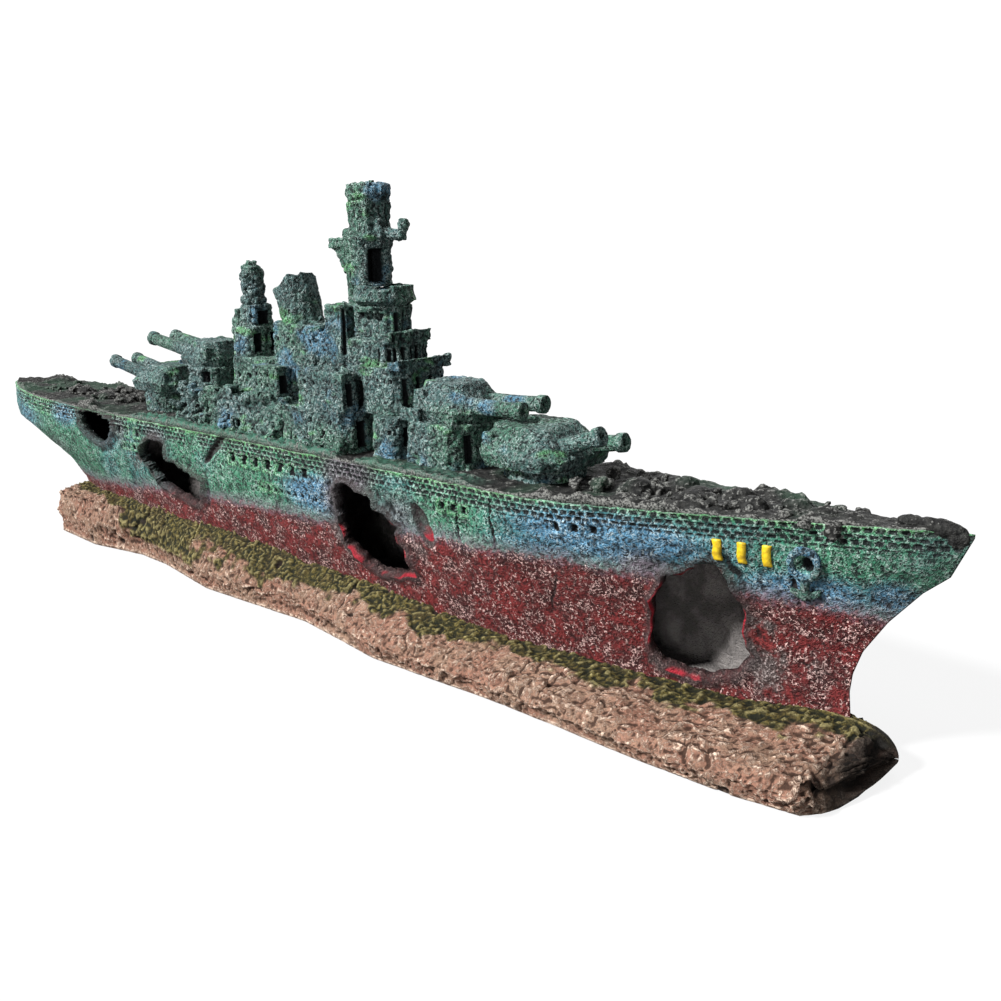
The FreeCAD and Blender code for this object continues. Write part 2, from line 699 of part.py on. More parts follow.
def build_heaps():
    for name, stations in HEAPS.items():
        sections = []
        for x, half, rise in stations:
            foot = sheer_height(x)
            loop = [(-half, 0.0), (-half * 0.6, rise), (half * 0.6, rise), (half, 0.0)]
            corners = [Vector(x, y, foot + z) for y, z in loop]
            sections.append(Part.makePolygon(corners + corners[:1]))
        keep(solid_feature(f"{name}_form", Part.makeLoft(sections, True, True)), name)


def build_bow_fittings(hull_outer):
    """The chock at the bow tip, an anchor on each bow and three raised marks beside it."""
    chock = primitive(
        "Wedge", "bow_chock_form", Xmin="0", Xmax="sizes.chock_length", Ymin="0", Ymax="sizes.chock_rise + 2",
        Zmin="0", Zmax="2 * sizes.chock_half_width", X2min="1", X2max="sizes.chock_length - 2",
        Z2min="0.3", Z2max="2 * sizes.chock_half_width - 0.3",
    )
    chock.Placement = Placement(Vector(), Rotation(Vector(1, 0, 0), 90))
    place(chock, "sizes.chock_station", "sizes.chock_half_width", str(sheer_height(size("chock_station")) - 1))
    under = solid_feature("under_sheer", sheer_block(20))
    keep(cut("bow_chock_fitted", chock, under), "bow_chock")
    shell_outside = solid_feature("marks_form", hull_form(-size("mark_relief")), size("keel_height"))
    for side, side_name in ((-1, "starboard"), (1, "port")):
        breadth = size("hull_half_beam") / 2
        shank = primitive(
            "Cylinder", f"{side_name}_shank", Radius="sizes.anchor_bar", Height="sizes.anchor_shank",
        )
        offset = f"{side} * {breadth * 0.62}"
        place(shank, "sizes.anchor_station", offset, "sizes.anchor_height - sizes.anchor_shank / 2")
        arm = primitive(
            "Cylinder", f"{side_name}_arm", Radius="sizes.anchor_bar * 0.9", Height="sizes.anchor_arm",
        )
        arm.Placement = Placement(Vector(), Rotation(Vector(0, 1, 0), 90))
        place(arm, "sizes.anchor_station - sizes.anchor_arm / 2", f"{side} * {breadth * 0.62}",
              "sizes.anchor_height - sizes.anchor_shank / 2")
        keep(cut(f"{side_name}_anchor_fitted", fuse(f"{side_name}_anchor_form", [shank, arm]), hull_outer),
             f"{side_name}_anchor")
    bars = []
    for index in range(3):
        bar = primitive("Box", f"mark_bar_{'abc'[index]}", Length="sizes.mark_width", Height="sizes.mark_rise",
                        Width="2 * sizes.base_half_width")
        place(bar, f"sizes.mark_station + {index} * sizes.mark_pitch", "-sizes.base_half_width",
              "sizes.mark_height - sizes.mark_rise / 2")
        bars.append(bar)
    raised = common("raised_bars", shell_outside, fuse("mark_bars", bars))
    keep(cut("marks_fitted", raised, hull_outer), "bow_marks")


def write_subparts():
    doc.recompute()
    for item in doc.Objects:
        if "Invalid" in item.State or "Error" in item.State:
            raise RuntimeError(f"{item.Label} did not recompute: {item.State}")
    os.makedirs("parts", exist_ok=True)
    for item in subparts:
        if item.Shape.isNull() or not item.Shape.isValid():
            raise RuntimeError(f"{item.Label} has no valid shape")
        item.Shape.exportStep(f"parts/{item.Label}.step")
        box = item.Shape.BoundBox
        print(f"{item.Label:28s} {len(item.Shape.Solids)} solid(s), {item.Shape.Volume / 1000:8.3f} cm3, "
              f"x {box.XMin:.1f}..{box.XMax:.1f}, y {box.YMin:.1f}..{box.YMax:.1f}, z {box.ZMin:.1f}..{box.ZMax:.1f}")


fill_sheet()
hull_outer = build_hull()
air_tube = air_route("air_route", "sizes.air_pipe_radius", "sizes.base_aft_end", "sizes.riser_top")
build_rock_base(hull_outer, air_tube)
build_houses()
build_drums()
build_turrets()
build_tower_top()
build_funnel()
build_mast()
build_air_supply(air_tube)
build_heaps()
build_bow_fittings(hull_outer)
write_subparts()
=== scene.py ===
from math import cos, pi, radians, sin

import bmesh
import bpy
import numpy as np
from mathutils import Matrix, Vector


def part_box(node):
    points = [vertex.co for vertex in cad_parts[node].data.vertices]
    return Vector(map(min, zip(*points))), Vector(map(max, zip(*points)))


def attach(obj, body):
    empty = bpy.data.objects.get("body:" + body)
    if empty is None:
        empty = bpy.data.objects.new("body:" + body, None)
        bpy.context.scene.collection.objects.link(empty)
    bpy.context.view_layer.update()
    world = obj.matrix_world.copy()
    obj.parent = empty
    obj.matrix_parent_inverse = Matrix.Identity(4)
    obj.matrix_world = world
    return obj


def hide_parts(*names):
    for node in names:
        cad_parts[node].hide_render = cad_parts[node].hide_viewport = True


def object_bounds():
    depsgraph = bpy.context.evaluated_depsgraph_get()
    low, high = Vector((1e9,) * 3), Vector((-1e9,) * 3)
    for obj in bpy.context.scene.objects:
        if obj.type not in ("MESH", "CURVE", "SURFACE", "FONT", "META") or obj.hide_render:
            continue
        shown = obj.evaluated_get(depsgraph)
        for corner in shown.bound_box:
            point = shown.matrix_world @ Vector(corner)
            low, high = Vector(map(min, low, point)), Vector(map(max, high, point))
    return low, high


# A sunken battleship ornament. Lengths inside this script are millimetres, and meshes are written in metres.
# +X is the bow, +Y is port and +Z is up, as in the CAD model.
METRE = 0.001

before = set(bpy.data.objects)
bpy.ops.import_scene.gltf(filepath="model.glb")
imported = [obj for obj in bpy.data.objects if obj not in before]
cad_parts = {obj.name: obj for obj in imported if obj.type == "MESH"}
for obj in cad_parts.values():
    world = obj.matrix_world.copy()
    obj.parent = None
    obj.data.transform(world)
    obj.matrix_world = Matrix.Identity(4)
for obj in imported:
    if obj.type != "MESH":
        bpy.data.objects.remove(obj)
cad_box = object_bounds()


def cad_corners(node):
    """Lowest and highest corner of a CAD node, in millimetres."""
    low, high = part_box(node)
    return np.array(low) / METRE, np.array(high) / METRE


# ---------------------------------------------------------------- noise


def lattice(ix, iy, iz, seed):
    """A repeatable random number from 0 to 1 for each point of a whole-number grid."""
    n = ix * 374761393 + iy * 668265263 + iz * 1440662683 + seed * 974711
    n = n & 0xFFFFFFFF
    n = ((n ^ (n >> 13)) * 1274126177) & 0xFFFFFFFF
    n = ((n ^ (n >> 16)) * 668265263) & 0xFFFFFFFF
    return ((n ^ (n >> 15)) & 0xFFFFF) / 1048575.0


def noise(points, scale, seed=0):
    """Smooth noise from -1 to 1 with features of about the given size."""
    q = points / scale
    base = np.floor(q).astype(np.int64)
    f = q - base
    f = f * f * (3 - 2 * f)
    total = 0.0
    for dx in (0, 1):
        wx = f[:, 0] if dx else 1 - f[:, 0]
        for dy in (0, 1):
            wy = f[:, 1] if dy else 1 - f[:, 1]
            for dz in (0, 1):
                wz = f[:, 2] if dz else 1 - f[:, 2]
                corner = lattice(base[:, 0] + dx, base[:, 1] + dy, base[:, 2] + dz, seed)
                total = total + wx * wy * wz * corner
    return total * 2 - 1


def layered(points, scale, octaves, seed=0):
    """Noise with finer and weaker layers on top, from about -1 to 1."""
    total, weight, amount = 0.0, 0.0, 1.0
    for octave in range(octaves):
        total = total + amount * noise(points, scale / 2 ** octave, seed + octave * 17)
        weight += amount
        amount *= 0.55
    return total / weight * 1.4


def cells(points, scale, seed=0):
    """Distances to the nearest and second nearest of scattered points, in units of scale."""
    q = points / scale
    base = np.floor(q).astype(np.int64)
    first = np.full(len(q), 9.0)
    second = np.full(len(q), 9.0)
    for dx in (-1, 0, 1):
        for dy in (-1, 0, 1):
            for dz in (-1, 0, 1):
                ix, iy, iz = base[:, 0] + dx, base[:, 1] + dy, base[:, 2] + dz
                spot = np.stack([i + lattice(ix, iy, iz, seed + k) for k, i in enumerate((ix, iy, iz))], 1)
                d = np.linalg.norm(q - spot, axis=1)
                second = np.minimum(second, np.maximum(first, d))
                first = np.minimum(first, d)
    return first, second


def fade(value, low, high):
    """0 below low, 1 above high, smooth between."""
    share = np.clip((value - low) / (high - low), 0, 1)
    return share * share * (3 - 2 * share)


# ---------------------------------------------------------------- meshes

CAST_BOX = (np.array(cad_box[0]) / METRE + 0.05, np.array(cad_box[1]) / METRE - 0.05)


def raw_mesh(name, points, faces):
    """A mesh from points in millimetres, with its faces turned to look outwards."""
    mesh = bpy.data.meshes.new(name)
    mesh.from_pydata((points * METRE).tolist(), [], [list(f) for f in faces])
    shell = bmesh.new()
    shell.from_mesh(mesh)
    bmesh.ops.recalc_face_normals(shell, faces=shell.faces)
    shell.to_mesh(mesh)
    shell.free()
    mesh.update()
    return mesh


def arrays(mesh):
    """Points in millimetres, unit normals and edges of a mesh."""
    count = len(mesh.vertices)
    points = np.empty(count * 3, np.float32)
    mesh.vertices.foreach_get("co", points)
    normals = np.empty(count * 3, np.float32)
    mesh.vertex_normals.foreach_get("vector", normals)
    edges = np.empty(len(mesh.edges) * 2, np.int32)
    mesh.edges.foreach_get("vertices", edges)
    points, normals = [flat.reshape(-1, 3).astype(float) for flat in (points, normals)]
    return points / METRE, normals, edges.reshape(-1, 2)


def convexity(mesh, rounds=2):
    """How far each point stands out from its neighbours, in millimetres: positive on ridges."""
    points, normals, edges = arrays(mesh)
    smooth = points
    count = np.bincount(edges.ravel(), minlength=len(points))
    for _ in range(rounds):
        total = np.zeros_like(points)
        for axis in range(3):
            total[:, axis] += np.bincount(edges[:, 0], smooth[edges[:, 1], axis], len(points))
            total[:, axis] += np.bincount(edges[:, 1], smooth[edges[:, 0], axis], len(points))
        smooth = total / np.maximum(count, 1)[:, None]
    return np.einsum("ij,ij->i", points - smooth, normals)


def cast(name, mesh, material, replaced, marks, rounds=2):
    """Turns a finished mesh into a piece: surface marks that the paint reads, and its ties to the frame."""
    marks = dict(marks, ridge=convexity(mesh, rounds))
    for mark, values in marks.items():
        attribute = mesh.attributes.new(mark, "FLOAT", "POINT")
        attribute.data.foreach_set("value", np.asarray(values, np.float32))
    mesh.polygons.foreach_set("use_smooth", [True] * len(mesh.polygons))
    mesh.materials.clear()
    mesh.materials.append(material)
    piece = bpy.data.objects.new(name, mesh)
    bpy.context.scene.collection.objects.link(piece)
    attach(piece, "root")
    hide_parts(*replaced)
    return piece


def set_points(mesh, points):
    """Moves a mesh's points, in millimetres, keeping them inside the CAD model's box."""
    mesh.vertices.foreach_set("co", (np.clip(points, *CAST_BOX) * METRE).astype(np.float32).ravel())
    mesh.update()


# ---------------------------------------------------------------- hull form, as in the CAD model

HALF_LENGTH = cad_corners("hull_shell")[1][0]
KEEL = cad_corners("hull_shell")[0][2]
DECK = cad_corners("main_deckhouse")[0][2]
HALF_BEAM = 19.6
WALL, END_WALL, FLOOR_THICKNESS = 2.6, 5.0, 2.0
BOW_RISE, STERN_RISE, SHEER_START, STERN_SHEER_SHARE = 3.6, 1.2, 100.0, 0.78
STEM = ((7.5, 14.0, 18.0, 23.0, 30.0, 37.0, 41.0, 49.0),
        (0.893, 0.889, 0.891, 0.900, 0.924, 0.956, 0.981, 1.0))
COUNTER = ((7.5, 11.0, 17.0, 24.0, 30.0, 36.0, 40.0), (0.700, 0.717, 0.744, 0.800, 0.894, 0.994, 1.0))
BEAM_SHARE = ((7.5, 14.0, 22.0, 30.0, 38.0, 54.0), (0.72, 0.80, 0.90, 0.97, 1.0, 1.0))
BOW_TAPER, BOW_FULLNESS = 90.0, 1.3
STERN_TAPER, STERN_FULLNESS, STERN_ROUNDING = 95.0, 1.9, 0.62

# Where the red lower paint ends: station, height
PAINT_LINE = ((-180, -106, -63, -17, 32, 68, 111, 144, 180), (21, 20, 24.5, 28, 29, 32.5, 33, 32, 29.5))
# Where rock meets the hull
ROCK_LINE = ((-130, -104, -69, -29, -10, 24, 50, 98, 136, 160),
             (16, 16, 19.5, 19, 18.5, 16, 14, 10.5, 8.0, 7.0))


def sheer(x):
    """Height of the deck's edge."""
    knees = (-HALF_LENGTH, -HALF_LENGTH * STERN_SHEER_SHARE, SHEER_START, HALF_LENGTH)
    return np.interp(x, knees, (DECK + STERN_RISE, DECK, DECK, DECK + BOW_RISE))


def ends(z):
    """Stations of the stern and the stem at a height."""
    return -HALF_LENGTH * np.interp(z, *COUNTER), HALF_LENGTH * np.interp(z, *STEM)


def breadth(x, z, inset=0.0):
    """Half breadth of the hull at a station and height."""
    stern, stem = ends(z)
    aft = np.clip((x - stern - inset) / STERN_TAPER, 0, 1)
    fore = np.clip((stem - inset - x) / BOW_TAPER, 0, 1)
    beam = HALF_BEAM * np.interp(z, *BEAM_SHARE) - inset
    return beam * (1 - (1 - aft ** STERN_ROUNDING) ** STERN_FULLNESS) * (1 - (1 - fore) ** BOW_FULLNESS)


# ---------------------------------------------------------------- openings and fittings of the hull's sides

STARBOARD_TEARS = (
    ((124, 33), (128, 34.5), (131, 36.5), (135, 37.5), (137, 35), (138, 31.5), (140, 29), (139.5, 23),
     (141, 17), (138, 12.5), (133, 10.5), (128, 10), (122, 11), (120, 15), (119.5, 20), (121, 26)),
    ((31, 38), (34, 41), (39, 39.5), (44, 39), (46, 35.5), (50, 34.5), (53, 32), (51.5, 29), (54, 27),
     (56.5, 24), (57, 20), (50, 18), (43, 18), (37, 20.5), (33, 24), (31.5, 30)),
    ((-60, 39.5), (-55, 41), (-49.5, 40), (-48, 36), (-42, 33.5), (-35, 32.5), (-30, 31.5), (-31, 26),
     (-36, 23), (-48, 24.5), (-56, 29), (-62, 35)),
    ((-102, 44.5), (-96, 45.6), (-86, 45.6), (-79, 44.5), (-78, 41), (-82, 37), (-89, 35.5), (-95, 37),
     (-100, 41)),
)
PORT_TEARS = (
    ((52, 27), (54, 34), (59, 39), (64, 38), (67, 35), (71, 31), (72, 25), (68, 20), (61, 18.5), (55, 21)),
    ((-50, 34), (-46, 38.5), (-38, 40), (-30, 38), (-23, 35), (-22, 30), (-28, 27), (-37, 26), (-45, 28)),
    ((-120, 37), (-116, 42), (-109, 42.5), (-104, 39), (-105, 33), (-111, 31.5), (-117, 33)),
)
# Rows of windows: first station, last station, depth below the deck edge, count, width, height
WINDOW_ROWS = (
    (-13.0, 19.0, 5.2, 7, 2.5, 2.7),
    (0.0, 23.0, 11.5, 9, 1.3, 1.4),
    (-150.0, -112.0, 3.6, 7, 2.0, 1.9),
    (-75.0, -64.0, 4.4, 3, 2.2, 2.4),
    (-72.0, -57.0, 9.0, 6, 1.2, 1.4),
    (69.0, 76.0, 5.6, 3, 1.6, 1.7),
    (101.0, 109.5, 5.4, 3, 1.8, 1.7),
)
# Gouges in the plating: station, height, half width, half height, lean, depth
GOUGES = (
    (-22.0, 42.0, 2.6, 6.0, -1.1, 1.3),
    (62.0, 34.5, 3.4, 6.0, 0.5, 1.3),
    (74.0, 36.5, 0.5, 9.0, 0.12, 1.0),
    (84.0, 38.0, 0.5, 8.0, 0.10, 0.9),
    (150.0, 34.0, 0.45, 7.0, 0.05, 0.8),
    (-4.0, 24.0, 0.5, 4.0, 0.6, 0.7),
    (98.0, 24.0, 0.5, 6.0, -0.3, 0.7),
)

# Blue and lilac washes over the green paint: station, height, reach along and up, strength
BLUE_WASHES = (
    (24, 36, 15, 5.5, 1.0), (112, 40, 26, 6, 1.0), (98, 36, 20, 4, 0.6), (152, 34, 14, 4.5, 0.9),
    (167, 35, 6, 4, 0.8),
    (-86, 40, 14, 7, 0.6), (-112, 43, 12, 5, 0.7), (-150, 38, 22, 6, 0.5), (-50, 30, 9, 4, 0.4),
)
LILAC_WASHES = (
    (36, 44, 11, 9, 1.0), (30, 36, 5, 8, 0.8), (54, 36, 12, 7, 0.6), (-74, 42, 5, 8, 0.6), (-54, 42, 8, 4, 0.7),
    (120, 34, 7, 5, 0.8), (146, 31, 8, 5, 0.5), (-126, 30, 16, 5, 0.5),
)

# Bubbled grey plating beside the torn openings
BUBBLED = (
    (145, 21, 11, 13, 1.0), (118, 12, 9, 5, 0.7), (62, 30, 6, 6, 0.7), (30, 24, 5, 9, 0.8),
    (-66, 34, 5, 6, 0.7), (-28, 24, 6, 5, 0.6),
)
# Where the anchor chain leaves the plating: station, height
HAWSE = (152.5, 40.0)


def wash(patches, x, z):
    """Strength of the nearest soft oval patch, from 0 to 1."""
    total = np.zeros(len(x))
    for station, height, reach_x, reach_z, strength in patches:
        near = ((x - station) / reach_x) ** 2 + ((z - height) / reach_z) ** 2
        total = np.maximum(total, strength * np.exp(-near))
    return total


def ragged(outline, seed, step=0.8, depth=0.55):
    """A closed outline with short uneven teeth between its corners."""
    points = []
    for index, start in enumerate(outline):
        a = np.array(start, float)
        b = np.array(outline[(index + 1) % len(outline)], float)
        count = max(1, int(np.linalg.norm(b - a) / step))
        for k in range(count):
            points.append(a + (b - a) * k / count)
    points = np.array(points)
    tangent = np.roll(points, -1, 0) - np.roll(points, 1, 0)
    tangent /= np.linalg.norm(tangent, axis=1, keepdims=True)
    across = np.stack([-tangent[:, 1], tangent[:, 0]], 1)
    spots = np.column_stack([points, np.zeros(len(points))])
    wobble = noise(spots, 2.2, seed) + 0.7 * noise(spots, 0.9, seed + 5)
    return points + across * (wobble * depth)[:, None]


def edge_distance(x, z, outline):
    """Signed distance to a closed outline, negative inside, and the nearest point on it."""
    a = outline
    b = np.roll(outline, -1, 0)
    p = np.stack([x, z], 1)[:, None, :]
    along = b - a
    share = np.clip(((p - a) * along).sum(2) / (along * along).sum(1), 0, 1)
    nearest = a + along * share[:, :, None]
    distance = np.linalg.norm(p - nearest, axis=2)
    best = distance.argmin(1)
    rows = np.arange(len(x))
    crosses = (a[:, 1] > z[:, None]) != (b[:, 1] > z[:, None])
    rise = np.where(np.abs(along[:, 1]) < 1e-9, 1e-9, along[:, 1])
    reach = a[:, 0] + (z[:, None] - a[:, 1]) * along[:, 0] / rise
    inside = (crosses & (x[:, None] < reach)).sum(1) % 2 == 1
    signed = np.where(inside, -distance[rows, best], distance[rows, best])
    return signed, nearest[rows, best]


def uneven_steps(count, knots, density):
    """Positions from 0 to 1, closer together where the density is higher."""
    fine = np.linspace(0, 1, 4000)
    total = np.concatenate([[0], np.cumsum(np.interp((fine[1:] + fine[:-1]) / 2, knots, density))])
    return np.interp(np.linspace(0, total[-1], count + 1), total, fine)


HULL_COLUMNS, HULL_ROWS, BOTTOM_ROWS = 620, 74, 3
BRICK_LENGTH, BRICK_HEIGHT, BRICK_BAND = 2.1, 1.25, 5.0


def hull_half(side, name, tears, material, seed):
    """One half of the hollow hull: an outer and an inner skin on the same grid, torn open together."""
    t = uneven_steps(HULL_COLUMNS, (0, 0.03, 0.5, 0.8, 0.97, 1), (1.5, 0.9, 0.95, 1.25, 1.25, 1.8))
    s = uneven_steps(HULL_ROWS, (0, 0.15, 0.2, 1), (1.9, 1.7, 1, 1))
    T, S = np.meshgrid(t, s, indexing="ij")
    x = -HALF_LENGTH + 2 * HALF_LENGTH * T
    for _ in range(3):
        z = KEEL + (sheer(x) - KEEL) * (1 - S)
        stern, stem = ends(z)
        x = stern + (stem - stern) * T
    shape = x.shape
    flat_x, flat_z = x.ravel().copy(), z.ravel().copy()
    tear = np.full(flat_x.size, 99.0)
    nearest = np.stack([flat_x, flat_z], 1)
    for index, outline in enumerate(tears):
        jagged = ragged(outline, seed + index)
        low, high = jagged.min(0) - 12, jagged.max(0) + 12
        near = (flat_x > low[0]) & (flat_x < high[0]) & (flat_z > low[1]) & (flat_z < high[1])
        distance, spot = edge_distance(flat_x[near], flat_z[near], jagged)
        places = np.flatnonzero(near)
        closer = distance < tear[places]
        tear[places[closer]] = distance[closer]
        nearest[places[closer]] = spot[closer]
    inside = (tear < 0).reshape(shape)
    quad_gone = inside[:-1, :-1].astype(int) + inside[1:, :-1] + inside[:-1, 1:] + inside[1:, 1:] >= 2
    kept = ~quad_gone
    used = np.zeros(shape, bool)
    freed = np.zeros(shape, bool)
    for di in (0, 1):
        for dj in (0, 1):
            used[di:shape[0] - 1 + di, dj:shape[1] - 1 + dj] |= kept
            freed[di:shape[0] - 1 + di, dj:shape[1] - 1 + dj] |= quad_gone
    rim = (used & freed).ravel()
    shift = np.zeros((flat_x.size, 2))
    shift[rim] = nearest[rim] - np.stack([flat_x, flat_z], 1)[rim]
    flat_x = flat_x + shift[:, 0]
    flat_z = flat_z + shift[:, 1]
    tear = np.maximum(np.where(rim, 0, tear), 0)
    # outer skin
    spots = np.stack([flat_x, np.full_like(flat_x, side * 7.0), flat_z], 1)
    outer = np.stack([flat_x, side * breadth(flat_x, flat_z), flat_z], 1)
    below_edge = sheer(flat_x) - flat_z
    paint = flat_z - np.interp(flat_x, *PAINT_LINE)
    paint = paint + 0.7 * noise(spots, 9.0, seed) + 0.5 * noise(spots, 3.0, seed + 1)
    rough = 0.30 * layered(spots, 3.2, 3, seed + 2) + 0.16 * noise(spots, 0.95, seed + 3)
    crust = fade(noise(spots, 14.0, seed + 4), -0.3, 0.5) * 0.35 * layered(spots, 1.8, 2, seed + 9)
    red = fade(-paint, -1.0, 1.0)
    height = rough * (1 - 0.45 * red) + crust + 0.16 * red * (1 - fade(np.abs(paint), 0.1, 0.9))
    bubble = wash(BUBBLED, flat_x, flat_z) * fade(noise(spots, 6.0, seed + 13), -0.5, 0.2)
    height += bubble * (0.9 * np.abs(layered(spots, 1.9, 2, seed + 14)) - 0.25)
    hawse = np.hypot(flat_x - HAWSE[0], (flat_z - HAWSE[1]) * 0.9)
    height += 0.55 * np.exp(-((hawse - 2.0) / 0.6) ** 2)
    gouge_mark = np.zeros(flat_x.size)
    for station, level, half_width, half_height, lean, depth in GOUGES:
        across = (flat_x - station + lean * (flat_z - level) + 0.5 * noise(spots, 2.5, seed + 6)) / half_width
        along = (flat_z - level) / half_height
        inside_share = fade(1 - np.sqrt(across ** 2 + along ** 2), 0.0, 0.45)
        height -= depth * inside_share
        gouge_mark = np.maximum(gouge_mark, inside_share * (1.0 if half_width > 1 else 0.35))
    pit, frame_mark = np.zeros(flat_x.size), np.zeros(flat_x.size)
    for first, last, drop, count, width, tall in WINDOW_ROWS:
        for k in range(count):
            station = first + (last - first) * k / (count - 1)
            dx = np.abs(flat_x - station) - width / 2
            dz = np.abs(below_edge - drop) - tall / 2
            pit = np.maximum(pit, 1 - fade(np.maximum(dx, dz), -0.30, 0.12))
            frame_mark = np.maximum(frame_mark, np.exp(-((np.maximum(dx, dz) - 0.45) / 0.35) ** 2))
    pit = np.maximum(pit, 1 - fade(hawse, 0.9, 1.5))
    height += 0.25 * frame_mark - 1.2 * pit
    course = below_edge / BRICK_HEIGHT
    brick_x = np.abs((flat_x / BRICK_LENGTH + 0.5 * np.floor(course)) % 1 - 0.5) * BRICK_LENGTH
    brick_z = np.abs(course % 1 - 0.5) * BRICK_HEIGHT
    brick = 1 - fade(np.maximum(brick_x / 0.85, brick_z / 0.48), 0.75, 1.1)
    in_band = 1 - fade(below_edge, BRICK_BAND - 1.3, BRICK_BAND)
    brick *= in_band * fade(noise(spots, 11.0, seed + 12), -0.75, -0.35)
    height -= 0.40 * brick
    lip = noise(spots, 3.4, seed + 7) * 1.1 + 0.35
    height += lip * np.exp(-tear / 1.1)
    height -= 0.5 * np.exp(-((tear - 2.4) / 1.2) ** 2)
    edge_hold = fade(np.minimum(T, 1 - T).ravel(), 0.0, 0.006)
    slope = breadth(flat_x, flat_z + 0.5) - breadth(flat_x, flat_z - 0.5)
    lean_out = 1 / np.sqrt(1 + slope ** 2)
    outer[:, 1] += side * height * lean_out * edge_hold
    outer[:, 1] = side * np.maximum(side * outer[:, 1], 0.0)
    outer[:, 2] += -height * slope * lean_out * edge_hold * 0.5
    top_row = S.ravel() == 0
    outer[top_row, 2] += 0.25 * noise(spots, 1.4, seed + 8)[top_row]
    # inner skin
    stern, stem = ends(flat_z)
    inner_x = flat_x - END_WALL * np.exp(-(stem - flat_x) / 8) + END_WALL * np.exp(-(flat_x - stern) / 8)
    floor = KEEL + FLOOR_THICKNESS
    inner_z = floor + (flat_z - KEEL) * (sheer(flat_x) - floor) / (sheer(flat_x) - KEEL)
    inner_y = np.maximum(breadth(inner_x, inner_z, WALL) + 0.35 * layered(spots, 7.0, 2, seed + 11), 0.0)
    inner_y = np.minimum(inner_y, np.maximum(side * outer[:, 1] - 0.8, 0.0))
    inner = np.stack([inner_x, side * inner_y, inner_z], 1)
    # bottom strips to the centreline
    number = np.arange(flat_x.size).reshape(shape)
    outer_rows, inner_rows = [number], [number + flat_x.size]
    points = [outer, inner]
    base_count = 2 * flat_x.size
    for skin, rows in ((outer, outer_rows), (inner, inner_rows)):
        edge = skin.reshape(shape + (3,))[:, -1]
        strips = []
        for k in range(1, BOTTOM_ROWS + 1):
            strip = edge.copy()
            strip[:, 1] *= 1 - k / BOTTOM_ROWS
            points.append(strip)
            strips.append(base_count + np.arange(len(strip))[:, None])
            base_count += len(strip)
        rows[0] = np.concatenate([rows[0]] + strips, axis=1)
    points = np.concatenate(points)
    grid_outer, grid_inner = outer_rows[0], inner_rows[0]
    full_kept = np.concatenate([kept, np.ones((kept.shape[0], BOTTOM_ROWS), bool)], 1)

    def quads(grid, mask, flip):
        a, b, c, d = grid[:-1, :-1], grid[1:, :-1], grid[1:, 1:], grid[:-1, 1:]
        loop = (a, d, c, b) if flip else (a, b, c, d)
        return np.stack([part[mask] for part in loop], 1)

    def bridge(path_outer, path_inner, flip):
        a, b, c, d = path_outer[:-1], path_outer[1:], path_inner[1:], path_inner[:-1]
        return np.stack((a, b, c, d) if flip else (a, d, c, b), 1)

    flip = side > 0
    faces = [quads(grid_outer, full_kept, flip), quads(grid_inner, full_kept, not flip)]
    faces.append(bridge(grid_outer[:, 0], grid_inner[:, 0], not flip))
    faces.append(bridge(grid_outer[:, -1], grid_inner[:, -1], flip))
    faces.append(bridge(grid_outer[0], grid_inner[0], flip))
    faces.append(bridge(grid_outer[-1], grid_inner[-1], not flip))
    gone = ~full_kept
    for axis in (0, 1):
        wall = np.diff(gone.astype(int), axis=axis)
        for i, j in zip(*np.nonzero(wall)):
            a, b = ((i + 1, j) if axis == 0 else (i, j + 1)), (i + 1, j + 1)
            outward = (wall[i, j] > 0) == (axis == 0)
            loop = [grid_outer[a], grid_outer[b], grid_inner[b], grid_inner[a]]
            if outward == flip:
                loop.reverse()
            faces.append(np.array([loop]))
    faces = np.concatenate(faces)
    keep_points, faces = np.unique(faces, return_inverse=True)
    faces = faces.reshape(-1, 4)
    nothing, pad = flat_x * 0, np.zeros(len(points) - 2 * flat_x.size)
    rail = np.maximum(np.exp(-(below_edge / 0.9) ** 2), 0.7 * frame_mark)
    blue, lilac = wash(BLUE_WASHES, flat_x, flat_z), wash(LILAC_WASHES, flat_x, flat_z)
    # Each mark's values on the outer skin, the inner skin and the bottom strips
    skins = {
        "paint": (paint, paint, pad - 9),
        "torn": (np.maximum(np.exp(-tear / 1.3), gouge_mark), 0.55 * np.exp(-tear / 1.6), pad),
        "bubble": (bubble, nothing, pad),
        "pit": (pit, nothing, pad),
        "inside": (nothing, fade(tear, 0.4, 3.0), pad + 1),
        # Painted shade: this mark darkens the upper plating towards the bow tip, more so lower down
        "bow_tip_shade": (fade(flat_x + 0.6 * below_edge, 158, 184), nothing, pad),
        "brick": (brick, nothing, pad),
        "rail": (rail, nothing, pad),
        "blue": (blue, blue, pad),
        "lilac": (lilac, lilac, pad),
    }
    marks = {mark: np.concatenate(values)[keep_points] for mark, values in skins.items()}
    mesh = raw_mesh(name, np.clip(points[keep_points], *CAST_BOX), faces)
    return cast(name, mesh, material, ("hull_shell",), marks)


# ---------------------------------------------------------------- rock base

ROCK_AFT, ROCK_FORE, ROCK_HALF_WIDTH, ROCK_ROUNDING = -128.0, 170.5, 30.0, 5.0
